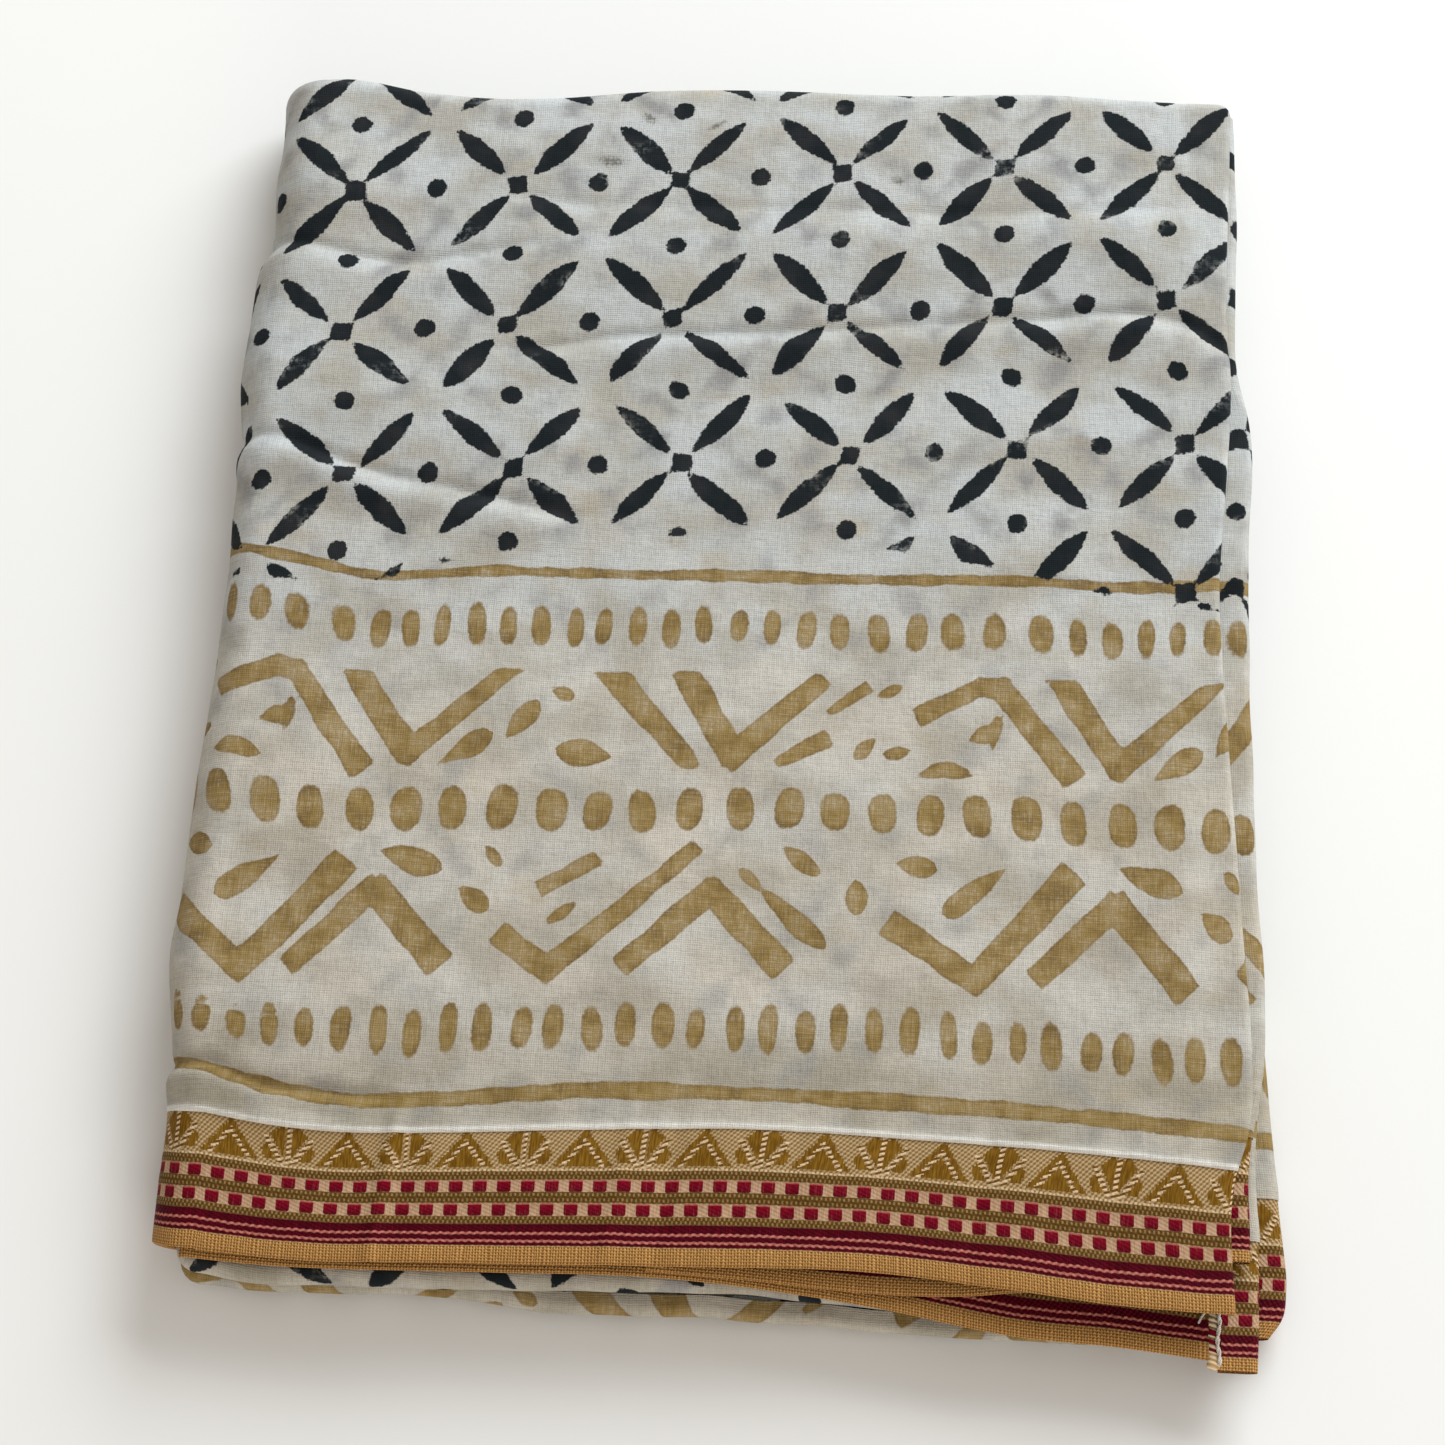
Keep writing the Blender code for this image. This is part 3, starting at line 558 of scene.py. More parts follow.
def stroke(u, v, x0, v0, x1, v1, half0, half1, square):
    """How far a point is inside a bar, or a drop, pointed at its thin end and round at its thick one."""
    length = np.hypot(x1 - x0, v1 - v0)
    along = ((u - x0) * (x1 - x0) + (v - v0) * (v1 - v0)) / length
    aside = abs((u - x0) * (v1 - v0) - (v - v0) * (x1 - x0)) / length
    if square:
        half = half0 + (half1 - half0) * np.clip(along / length, 0, 1)
        return np.minimum(half - aside, np.minimum(along, length - along))
    start, end = -0.8 * half0, length + 0.8 * half1
    widest = 0.28 + 0.44 * half1 / (half0 + half1)
    place = np.clip((along - start) / (end - start), 0, 1) ** (np.log(0.5) / np.log(widest))
    thick = place > 0.5 if half1 > half0 else place < 0.5
    past = np.maximum(0, np.maximum(start - along, along - end))
    return 1.05 * max(half0, half1) * np.sin(np.pi * place) ** np.where(thick, 0.5, 0.9) - aside - past


def gold_field(u, v):
    """How far a point of the cloth is inside the gold print, in millimetres."""
    v = straight_v(u, v)
    best = np.full(u.shape, OUTSIDE)
    for place, half in (UPPER_LINE, LOWER_LINE):
        best = np.maximum(best, half + 0.25 * ripple(u, 0, 30, int(place + 200)) - abs(v - place))
    for number, (place, half_width, half_height, pitch, first) in enumerate(OVAL_ROWS):
        x = u + through(OVAL_SHIFTS, u) if number == 0 else u
        count = np.round((x - first) / pitch).astype(int)
        jitter = JITTER[count % JITTERS, number, 0]
        across = (x - first - count * pitch + 0.5 * jitter[:, 0]) / (half_width * (1 + 0.12 * jitter[:, 1]))
        along = (v - place + 0.5 * jitter[:, 2]) / (half_height * (1 + 0.08 * jitter[:, 3]))
        across = across + 0.16 * jitter[:, 4] * along
        reach = (abs(across) ** OVAL_POWER + abs(along) ** OVAL_POWER) ** (1 / OVAL_POWER)
        best = np.maximum(best, (1 - reach) * half_width)
    for strokes, square, repeats in (
        (UPPER_BARS, True, UPPER_REPEATS), (UPPER_DROPS, False, UPPER_REPEATS),
        (LOWER_BARS, True, LOWER_REPEATS), (LOWER_DROPS, False, LOWER_REPEATS),
    ):
        for shift in repeats:
            for row in strokes:
                best = np.maximum(best, stroke(u - shift, v, *row, square))
    for shift in UPPER_REPEATS:
        for row in LEVEL_BARS:
            best = np.maximum(best, np.minimum(stroke(u - shift, v, *row, True), LEVEL_TOP - v))
    best = best + 0.24 * ripple(u, v, 9, 41)
    bare_v, bare_half, bare_end = BARE_LINE
    bare = np.maximum(abs(v - bare_v) - bare_half, u - bare_end)
    return np.where(u > OVAL_SHIFTS[0][0] - 12, np.minimum(best, bare), best)


# Faint smudges of ink: u, v, half length, half width, slant
SMUDGES = (
    (-36.1, 123.4, 4.6, 1.7, 0.1), (-28.0, 135.4, 2.3, 1.6, 0.3), (-11.8, 134.4, 2.6, 0.9, -0.6),
    (31.0, 121.5, 2.0, 1.2, 0.2),
)


def smudge_field(u, v):
    """How strongly a point of the cloth is smudged, 1 at the middle of a smudge."""
    best = np.zeros(u.shape)
    for middle_u, middle_v, length, width, slant in SMUDGES:
        along, aside = u - middle_u, v - middle_v + slant * (u - middle_u)
        best = np.maximum(best, bell(np.hypot(along / length, aside / width), 1.0))
    return best


PRINT_FIELDS = {"black": black_field, "gold": gold_field, "below": below_field, "smudge": smudge_field}


class Value:
    """A number that varies over a surface: a shader socket with ordinary arithmetic."""

    def __init__(self, tree, socket):
        self.tree = tree
        self.socket = socket

    def math(self, operation, *others, swap=False):
        node = self.tree.nodes.new("ShaderNodeMath")
        node.operation = operation
        inputs = (*others, self) if swap else (self, *others)
        for socket, value in zip(node.inputs, inputs):
            if isinstance(value, Value):
                self.tree.links.new(value.socket, socket)
            else:
                socket.default_value = value
        return Value(self.tree, node.outputs[0])

    def __add__(self, other):
        return self.math("ADD", other)

    def __sub__(self, other):
        return self.math("SUBTRACT", other)

    def __rsub__(self, other):
        return self.math("SUBTRACT", other, swap=True)

    def __mul__(self, other):
        return self.math("MULTIPLY", other)

    def __truediv__(self, other):
        return self.math("DIVIDE", other)

    def __abs__(self):
        return self.math("ABSOLUTE")

    __radd__ = __add__
    __rmul__ = __mul__

    def most(self, other):
        return self.math("MAXIMUM", other)

    def wave(self, pitch, phase=0.0):
        """A sine from -1 to 1 with this pitch."""
        return (self * (2 * math.pi / pitch) + phase).math("SINE")

    def repeat(self, pitch):
        """How far the value is past the last multiple of the pitch."""
        return self.math("FLOORED_MODULO", pitch)

    def from_middle(self, pitch, middle=0.0):
        """How far the value is from the nearest of the places that repeat with the pitch."""
        return abs((self - middle + pitch / 2).repeat(pitch) - pitch / 2)

    def threads(self, pitch):
        return ((self / pitch).math("FLOOR") + 0.5) * pitch

    def smooth(self, start, end):
        """0 at start, 1 at end, smooth in between."""
        node = self.tree.nodes.new("ShaderNodeMapRange")
        node.interpolation_type = "SMOOTHSTEP"
        self.tree.links.new(self.socket, node.inputs["Value"])
        node.inputs["From Min"].default_value = start
        node.inputs["From Max"].default_value = end
        return Value(self.tree, node.outputs["Result"])

    def between(self, low, high, soft=0.12):
        return self.smooth(low - soft, low + soft) * (1 - self.smooth(high - soft, high + soft))


class Finish:
    """A fabric material: the places on the cloth, noise, colours that are laid over each other, and bump."""

    def __init__(self, name, roughness, sheen, specular=0.3):
        self.material = bpy.data.materials.new(name)
        self.material.use_nodes = True
        self.tree = self.material.node_tree
        self.shader = self.tree.nodes["Principled BSDF"]
        self.shader.inputs["Roughness"].default_value = roughness
        self.shader.inputs["Sheen Weight"].default_value = sheen
        self.shader.inputs["Specular IOR Level"].default_value = specular
        split = self.tree.nodes.new("ShaderNodeSeparateXYZ")
        self.tree.links.new(self.attribute("cloth", "Vector"), split.inputs[0])
        self.u = Value(self.tree, split.outputs["X"])
        self.v = Value(self.tree, split.outputs["Y"])

    def attribute(self, name, output="Fac"):
        node = self.tree.nodes.new("ShaderNodeAttribute")
        node.attribute_name = name
        return node.outputs[output]

    def field(self, name):
        return Value(self.tree, self.attribute(name))

    def noise(self, u_size, v_size, detail=2.0, shift=0.0):
        """Noise from 0 to 1 whose patches are this long along u and v, in millimetres."""
        place = self.tree.nodes.new("ShaderNodeCombineXYZ")
        self.tree.links.new((self.u / u_size).socket, place.inputs["X"])
        self.tree.links.new((self.v / v_size).socket, place.inputs["Y"])
        place.inputs["Z"].default_value = shift
        node = self.tree.nodes.new("ShaderNodeTexNoise")
        node.inputs["Scale"].default_value = 1.0
        node.inputs["Detail"].default_value = detail
        self.tree.links.new(place.outputs[0], node.inputs["Vector"])
        return Value(self.tree, node.outputs["Fac"])

    def mix(self, share, below, above, blend="MIX"):
        """Lay a colour over another by a share."""
        node = self.tree.nodes.new("ShaderNodeMixRGB")
        node.blend_type = blend
        for socket, value in zip(node.inputs, (share, below, above)):
            if isinstance(value, Value):
                self.tree.links.new(value.socket, socket)
            elif isinstance(value, bpy.types.NodeSocket):
                self.tree.links.new(value, socket)
            elif isinstance(value, tuple):
                socket.default_value = (*value, 1)
            else:
                socket.default_value = value
        return node.outputs[0]

    def grey(self, value):
        node = self.tree.nodes.new("ShaderNodeCombineColor")
        for socket in node.inputs:
            self.tree.links.new(value.socket, socket)
        return node.outputs[0]

    def finish(self, colour, height):
        """Set the colour, and the bump from a height in millimetres."""
        self.tree.links.new(colour, self.shader.inputs["Base Color"])
        bump = self.tree.nodes.new("ShaderNodeBump")
        bump.inputs["Distance"].default_value = MM
        self.tree.links.new(height.socket, bump.inputs["Height"])
        self.tree.links.new(bump.outputs[0], self.shader.inputs["Normal"])
        return self.material


# Colours, linear
WARM_CLOTH = (0.54, 0.495, 0.425)
COOL_CLOTH = (0.495, 0.51, 0.505)
# Dull tone of random patches, also the colour of the painted shade near the seam and on the near folds
DULL_AND_SHADED_CLOTH = (0.345, 0.31, 0.245)
# A painted highlight: the bright band where the cloth turns over at the seam
PAINTED_EDGE_HIGHLIGHT = (0.78, 0.76, 0.71)
SHOWING_BLACK = (0.25, 0.245, 0.245)
STAIN = (0.43, 0.34, 0.21)
SMUDGE = (0.09, 0.08, 0.06)
BLACK_INK = (0.005, 0.009, 0.012)
WORN_BLACK = (0.022, 0.022, 0.024)
GOLD_INK = (0.285, 0.185, 0.052)
DARK_GOLD = (0.165, 0.10, 0.027)
RIBBON_GROUND = (0.47, 0.33, 0.172)
RIBBON_SHADE = (0.235, 0.135, 0.05)
OLIVE_GOLD = (0.135, 0.06, 0.004)
OLIVE_SHEEN = (0.23, 0.115, 0.012)
DARK_OLIVE = (0.095, 0.047, 0.009)
ROPE_DOT = (0.36, 0.215, 0.08)
LIGHT_THREAD = (0.68, 0.49, 0.30)
CRIMSON = (0.185, 0.0005, 0.012)
DEEP_CRIMSON = (0.10, 0.0003, 0.006)
DARK_RED = (0.06, 0.0003, 0.005)
PINK = (0.52, 0.175, 0.13)
PALE_PINK = (0.53, 0.335, 0.215)
GAP_SHADE = (0.35, 0.205, 0.11)
SELVEDGE_GOLD = (0.58, 0.31, 0.105)
SELVEDGE_SHADE = (0.22, 0.095, 0.02)
WHITE_THREAD = (0.86, 0.80, 0.69)
THREAD_SHADE = (0.55, 0.49, 0.40)

WEAVE = 0.49


def weave_height(finish):
    """Threads over and under each other, uneven as handloom cotton is."""
    u = finish.u + finish.noise(7.0, 1.4, shift=3.0) * 0.5
    v = finish.v + finish.noise(1.4, 7.0, shift=5.0) * 0.5
    return (u.wave(WEAVE) + v.wave(WEAVE)) * 0.5


# coolness scales the cool tint; the last argument adds painted shade, a darker and warmer share, for cloth
# that lies in shade
def cloth_material(name, coolness=1.0, painted_shade=0.0):
    finish = Finish(name, roughness=0.9, sheen=0.012, specular=0.06)
    weft = finish.noise(5.0, 0.5, detail=3.0, shift=1.0)
    warp = finish.noise(0.5, 5.0, detail=3.0, shift=2.0)
    slubs = weft + warp - 1.0
    grain = finish.noise(0.7, 0.7, detail=3.0, shift=4.0) - 0.5
    weave = weave_height(finish)
    cloud = finish.noise(26.0, 22.0, detail=3.0, shift=7.0)
    cool = finish.v.smooth(-30.0, 45.0) * 0.8 + cloud.smooth(0.35, 0.7) * 0.4
    colour = finish.mix(cool * coolness, WARM_CLOTH, COOL_CLOTH)
    patch = finish.noise(8.0, 8.0, detail=3.0, shift=9.0)
    dull_and_shade = finish.noise(20.0, 14.0, detail=4.0, shift=13.0).smooth(0.38, 0.66) * 0.62
    # Painted shade: darker towards the seam, in the valley above the ribbon, plus the share of painted shade
    # given for the near folds; the noise patches above are the cloth's own dull tone
    dull_and_shade = dull_and_shade + finish.v.smooth(-76.0, -98.0) * 0.4 + painted_shade
    colour = finish.mix(dull_and_shade, colour, DULL_AND_SHADED_CLOTH)
    below = (finish.field("below") + (patch - 0.5) * 5.0).smooth(-2.2, 2.4) * patch.smooth(0.33, 0.62)
    below = below * finish.noise(40.0, 30.0, shift=10.0).smooth(0.33, 0.58)
    below = below * (0.42 + finish.v.smooth(0.0, 30.0) * 0.36)
    colour = finish.mix(below, colour, SHOWING_BLACK)
    warm = finish.noise(16.0, 10.0, detail=2.5, shift=12.0).smooth(0.58, 0.78)
    colour = finish.mix(warm * 0.3, colour, STAIN)
    smudge = (finish.field("smudge") + (grain + slubs) * 1.1).smooth(0.25, 1.1)
    colour = finish.mix(smudge * 0.8, colour, SMUDGE)
    # Painted highlight: a bright band along the turned edge of the cloth at the seam, where it catches the
    # light
    highlight_share = finish.field("painted_edge_highlight")
    colour = finish.mix(highlight_share * 0.8, colour, PAINTED_EDGE_HIGHLIGHT)
    edge = (finish.noise(1.1, 1.1, detail=3.0, shift=15.0) - 0.5) * 0.9 + slubs * 0.5
    dry = finish.noise(15.0, 12.0, detail=2.0, shift=18.0).smooth(0.57, 0.74)
    speckle = (finish.noise(1.3, 1.3, detail=3.0, shift=21.0) + slubs * 0.35).smooth(0.42, 0.66)
    inside_gold = finish.field("gold")
    gold = (inside_gold + edge * 0.8).smooth(-0.22, 0.22)
    mottle = finish.noise(6.0, 6.0, detail=3.0, shift=24.0)
    rim = inside_gold.smooth(1.0, 0.2) * 0.35
    gold_ink = finish.mix((mottle + grain * 0.5).smooth(0.42, 0.72) * 0.75 + rim, GOLD_INK, DARK_GOLD)
    gold_share = gold * (0.95 - (slubs * 0.7 + grain * 0.5).most(0.0) - 0.14 * mottle.smooth(0.55, 0.35))
    colour = finish.mix(gold_share, colour, gold_ink)
    inside_black = finish.field("black")
    dry = dry * (0.2 + inside_black.smooth(1.5, 0.3) * 0.8)
    black = (inside_black + edge * 1.3 - dry * 0.35).smooth(-0.2, 0.2)
    black_ink = finish.mix(finish.noise(9.0, 9.0, shift=27.0).smooth(0.42, 0.7) * 0.6, BLACK_INK, WORN_BLACK)
    black_share = black * (0.985 - dry * speckle * 0.85)
    colour = finish.mix(black_share, colour, black_ink)
    shade = 0.98 + slubs * 0.4 + grain * 0.3 + weave * 0.12
    colour = finish.mix(1.0, colour, finish.grey(shade), blend="MULTIPLY")
    height = weave * 0.035 + slubs * 0.05 + grain * 0.05
    height = height + finish.noise(5.0, 5.0, detail=3.0, shift=30.0) * 0.4
    return finish.finish(colour, height)


THREAD_PITCH = 0.55
TRIANGLE_TIP = 0.8
TRIANGLE_SLOPE = 0.79
FAN_POINT = 10.1
RAY_COS = 0.823
RAY_SIN = 0.568
RAY_OFFSET = 0.22
MOTIF_REPEAT = 24.7
MOTIF_PHASE = -3.4
SQUARE_PITCH = 5.0
SQUARE_PHASE = -9.1
ROPES = ((9.8, 11.6), (14.2, 16.5), (19.3, 20.9))
SQUARE_ROWS = (
    # start, end, shift along the ribbon
    (11.7, 14.2, 0.0), (16.6, 19.2, -0.8),
)
STRIPES_START = 20.9
STRIPES_END = 25.5
CORDS = (22.95, 24.55)
CORD_HALF = 0.24
HEM_CREAM = (0.82, 0.66, 0.45)
HEM_STRIPES = (
    # place, half width
    (21.6, 0.65), (23.5, 0.42), (25.2, 0.3),
)
STITCH_PITCH = 1.1


def ribbon_material(name):
    """The jacquard ribbon in bands along v, from the seam at 0 to the selvedge at 29 mm."""
    finish = Finish(name, roughness=0.6, sheen=0.005, specular=0.05)
    u, v = finish.u, finish.v
    v = v + (finish.noise(18.0, 30.0, shift=1.0) - 0.5) * 0.5
    fine_u, fine_v = u.threads(THREAD_PITCH), v.threads(THREAD_PITCH)
    thread = finish.noise(0.35, 3.0, detail=2.0, shift=4.0)
    twill = (u * 1.1 + v * 0.9).wave(1.15) + (u * 0.5 - v * 1.2).wave(1.0) * 0.6
    colour = finish.mix(twill.smooth(-0.8, 0.7), RIBBON_SHADE, RIBBON_GROUND)
    bead = (v + u * 0.35).wave(1.15)

    # Triangles: an outer band, a beaded line and a plain middle
    side = fine_u.from_middle(MOTIF_REPEAT, MOTIF_PHASE)
    inside = (fine_v - TRIANGLE_TIP) * TRIANGLE_SLOPE - side
    foot = 1 - fine_v.smooth(8.9, 9.2)
    outer_band = inside.between(0.0, 1.5, 0.1) * foot
    middle = inside.smooth(2.5, 2.7) * foot
    # Fans: four petals between rays from one point
    aside = fine_u.from_middle(MOTIF_REPEAT, MOTIF_PHASE + MOTIF_REPEAT / 2)
    up = FAN_POINT - fine_v
    ray = aside * RAY_COS - up * RAY_SIN - RAY_OFFSET
    inner_petal = aside.smooth(0.5, 0.7) * ray.smooth(-0.85, -1.05)
    inner_petal = inner_petal * (aside * 0.664 + up * 0.747).smooth(8.1, 7.9)
    inner_petal = inner_petal * (up - aside * 0.83).smooth(8.0, 7.8)
    outer_petal = ray.smooth(0.5, 0.7) * (up - aside * 0.17).smooth(1.1, 1.3)
    outer_petal = outer_petal * (aside * 0.747 + up * 0.664).smooth(7.1, 6.9)
    outer_petal = outer_petal * (aside - up * 0.478).smooth(4.0, 3.8)
    olive = outer_band.most(middle).most(inner_petal).most(outer_petal)
    satin = finish.mix(thread.smooth(0.35, 0.7), OLIVE_GOLD, OLIVE_SHEEN)
    colour = finish.mix(olive, colour, satin)
    line = inside.between(1.5, 2.5, 0.1) * foot
    line = line.most(abs(ray).smooth(0.6, 0.4) * (up + aside * 0.4).smooth(9.1, 8.8) * up.smooth(0.8, 1.2))
    line = line.most(aside.smooth(0.6, 0.4) * up.smooth(9.1, 8.8) * up.smooth(0.8, 1.2))
    colour = finish.mix(line, colour, finish.mix(bead.smooth(-0.6, 0.5), OLIVE_GOLD, LIGHT_THREAD))
    seam_line = v.between(9.3, 9.8, 0.1)
    colour = finish.mix(seam_line * u.wave(0.9).smooth(-0.8, 0.5) * 0.8, colour, LIGHT_THREAD)

    # Ropes, squares and stripes
    for low, high in ROPES:
        rope = v.between(low, high, 0.15)
        colour = finish.mix(rope, colour, DARK_OLIVE)
        middle_line = (low + high) / 2
        rows = abs(abs(v - middle_line) - (high - low) * 0.24).smooth(0.42, 0.2)
        dots = (u + (v - middle_line).smooth(-0.1, 0.1) * 0.45).wave(0.95).smooth(-0.2, 0.8)
        colour = finish.mix(rope * rows * dots * 0.7, colour, ROPE_DOT)
    square = None
    for low, high, shift in SQUARE_ROWS:
        row = v.between(low, high, 0.1)
        gap = finish.mix(thread.smooth(0.35, 0.62) * 0.8, PALE_PINK, GAP_SHADE)
        colour = finish.mix(row, colour, gap)
        across = u.from_middle(SQUARE_PITCH, SQUARE_PHASE + shift)
        block = (across + abs(v - (low + high) / 2 + 0.05).smooth(0.9, 1.5) * 0.35).smooth(1.5, 1.35)
        block = row * block
        red = finish.mix((v - low).smooth(0.3, high - low), CRIMSON, DEEP_CRIMSON)
        red = finish.mix(thread.smooth(0.5, 0.8) * 0.15, red, PINK)
        colour = finish.mix(block, colour, red)
        colour = finish.mix(block * (v - low).smooth(0.4, 0.2) * 0.6, colour, PINK)
        square = block if square is None else square.most(block)
    stripes = v.between(STRIPES_START, STRIPES_END, 0.15)
    colour = finish.mix(stripes, colour, finish.mix(thread.smooth(0.45, 0.75) * 0.4, DARK_RED, CRIMSON))
    wavering = v + u.wave(1.5) * 0.09 + (finish.noise(4.0, 40.0, shift=11.0) - 0.5) * 0.5
    cords = None
    for place in CORDS:
        cord = abs(wavering - place).smooth(CORD_HALF + 0.14, CORD_HALF - 0.12)
        cords = cord if cords is None else cords.most(cord)
    colour = finish.mix(cords * (0.62 + 0.38 * (u + v * 0.4).wave(1.5).smooth(-0.7, 0.5)), colour, PINK)
    rib_place = u + finish.noise(3.0, 40.0, shift=8.0) * 1.6
    ribs = rib_place.wave(0.66)
    grains = ribs * 0.6 + (v + ribs * 0.1).wave(0.62) * 0.5
    selvedge = v.smooth(STRIPES_END, STRIPES_END + 0.3)
    gold = finish.mix(grains.smooth(-0.75, 0.75), SELVEDGE_SHADE, SELVEDGE_GOLD)
    colour = finish.mix(selvedge, colour, gold)
    colour = finish.mix(1.0, colour, finish.grey(0.82 + 0.36 * thread), blend="MULTIPLY")
    height = twill * (1 - olive) * 0.05 + line * bead * 0.07 + olive * 0.06 + square * 0.12 + cords * 0.1
    height = height + selvedge * grains * 0.10 + thread * 0.05
    return finish.finish(colour, height)


def hem_material(name):
    """The cut end, rolled in with the ribbon's last stripes and its selvedge, and closely whipped."""
    finish = Finish(name, roughness=0.75, sheen=0.02, specular=0.1)
    v = finish.v + finish.u * 0.3
    stitch = v.wave(STITCH_PITCH)
    colour = finish.mix(stitch.smooth(-0.9, 0.3), RIBBON_SHADE, HEM_CREAM)
    for place, half in HEM_STRIPES:
        colour = finish.mix(abs(v - place).smooth(half + 0.15, half - 0.1), colour, CRIMSON)
    selvedge = finish.mix(stitch.smooth(-0.9, 0.4), SELVEDGE_GOLD, HEM_CREAM)
    colour = finish.mix((v - STRIPES_END).smooth(0.2, 0.7), colour, selvedge)
    colour = finish.mix(v.smooth(19.0, 16.0) * 0.6, colour, DARK_OLIVE)
    return finish.finish(colour, stitch * 0.14)


def thread_material(name):
    finish = Finish(name, roughness=0.75, sheen=0.2)
    twist = (finish.v + finish.u).wave(0.45)
    colour = finish.mix(twist.smooth(-0.8, 0.5), THREAD_SHADE, WHITE_THREAD)
    return finish.finish(colour, twist * 0.05)


def plain_material(name, colour):
    made = bpy.data.materials.new(name)
    made.use_nodes = True
    shader = made.node_tree.nodes["Principled BSDF"]
    shader.inputs["Base Color"].default_value = (*colour, 1)
    shader.inputs["Roughness"].default_value = 0.85
    return made


def placed(made):
    bpy.context.scene.collection.objects.link(made)
    return made


def surface(name, grids, material, cloth, fields=None, more=None):
    """An object of one or more open surfaces through grids of points, with what the shaders read."""
    points, faces = [], []
    start = 0
    for grid in grids:
        rows, columns = grid.shape[:2]
        corner = start + (np.arange(rows - 1)[:, None] * columns + np.arange(columns - 1)).ravel()
        faces.append(np.column_stack([corner, corner + columns, corner + columns + 1, corner + 1]))
        points.append(grid.reshape(-1, 3))
        start += rows * columns
    mesh = bpy.data.meshes.new(name)
    mesh.from_pydata((np.concatenate(points) * MM).tolist(), [], np.concatenate(faces).tolist())
    mesh.shade_smooth()
    mesh.materials.append(material)
    places = np.concatenate([place.reshape(-1, 2) for place in cloth])
    places = np.column_stack([places, np.zeros(len(places))])
    mesh.attributes.new("cloth", "FLOAT_VECTOR", "POINT").data.foreach_set("vector", places.ravel())
    values = {key: field(places[:, 0], places[:, 1]) for key, field in (fields or {}).items()}
    values.update(more or {})
    for key, value in values.items():
        value = value.ravel().astype(np.float32)
        mesh.attributes.new(key, "FLOAT", "POINT").data.foreach_set("value", value)
    return placed(bpy.data.objects.new(name, mesh))


def lengths(grid):
    """The mean lengths of a grid of points along its two ways, in metres."""
    across = np.linalg.norm(np.diff(grid, axis=0), axis=2).sum(axis=0).mean()
    along = np.linalg.norm(np.diff(grid, axis=1), axis=2).sum(axis=1).mean()
    return across * MM, along * MM


def declare(piece, node, slot, flat, **more):
    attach(piece, "root")
    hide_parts(node)


def make_outer_cloth(material, fields):
    near = np.array(NEAR_ROWS)
    shares = np.linspace(0, 1, PANEL_ROWS)[1:]
    turns = np.radians(np.linspace(0, TUCK_DEGREES, FAR_TURNS + 1)[1:])
    beyond = len(shares) + FAR_TURNS
    offset = np.concatenate([near[:, 0], np.full(beyond, NEAR_ROOM)])
    lift = np.concatenate([near[:, 1], np.zeros(beyond)])
    share = np.concatenate([np.zeros(len(near)), shares, np.ones(FAR_TURNS)])
    roll = np.concatenate([np.zeros(len(near) + len(shares)), turns])
    grid, cloth = [], []
    for kind, place in outer_stations():
        line_x = nominal_x(kind, place)
        seam, far = through(SEAM, line_x), through(FAR_EDGE, line_x) - FAR_RADIUS
        y = seam + offset + (far - seam - NEAR_ROOM) * share
        x, z, length = outer_point(kind, place, y, roll, lift)
        grid.append(np.column_stack([x, y + FAR_RADIUS * np.sin(roll), z]))
        cloth.append(np.column_stack([length, y + FAR_RADIUS * roll]))
    grid, cloth = np.array(grid), np.array(cloth)
    # Share of the painted highlight along the turned edge, fading out away from the seam
    highlight_share = 1 - ease(offset + PANEL_REACH * share, *EDGE_HIGHLIGHT_ENDS)
    highlight_share = np.broadcast_to(highlight_share, grid.shape[:2])
    piece = surface("outer_cloth", [grid], material, [cloth], fields, {"painted_edge_highlight": highlight_share})
    declare(piece, "outer_panel", "printed_cotton", lengths(grid))


def ribbon_relief(v):
    return sum(height * bell(v - place, half_width) for place, height, half_width in RIBBON_RELIEF)


def make_outer_ribbon(material):
    share = np.linspace(0, 1, RIBBON_ROWS)
    v = RIBBON_WIDTH * (1 - share)
    raised = -BORDER_DROP * (1 - 0.7 * ease(v, 0, 3)) + ribbon_relief(v)
    grid, cloth = [], []
    for kind, place in outer_stations():
        line_x = nominal_x(kind, place)
        near, far = through(SELVEDGE, line_x), through(SEAM, line_x) + RIBBON_UNDER_CLOTH
        y = near + (far - near) * share
        x, z, length = outer_point(kind, place, y, np.zeros_like(y), raised)
        angle = np.radians(place) if kind in ("left", "right") else 0.0
        out_x, out_z = {
            "left": (-np.sin(angle), -np.cos(angle)), "right": (np.sin(angle), np.cos(angle)),
            "under": (0.0, 0.0),
        }.get(kind, (0.0, 1.0))
        rim = [(x[0] + out_x * rise, near + out, z[0] + out_z * rise) for out, rise in OUTER_RIM]
        column = np.concatenate([np.array(rim), np.column_stack([x, y, z])])
        grid.append(column)
        cloth.append(np.column_stack([np.full(len(column), length[0]), np.concatenate([RIM_V, v])]))
    grid, cloth = np.array(grid), np.array(cloth)
    piece = surface("outer_ribbon", [grid], material, [cloth])
    declare(piece, "outer_border", "woven_ribbon", lengths(grid))


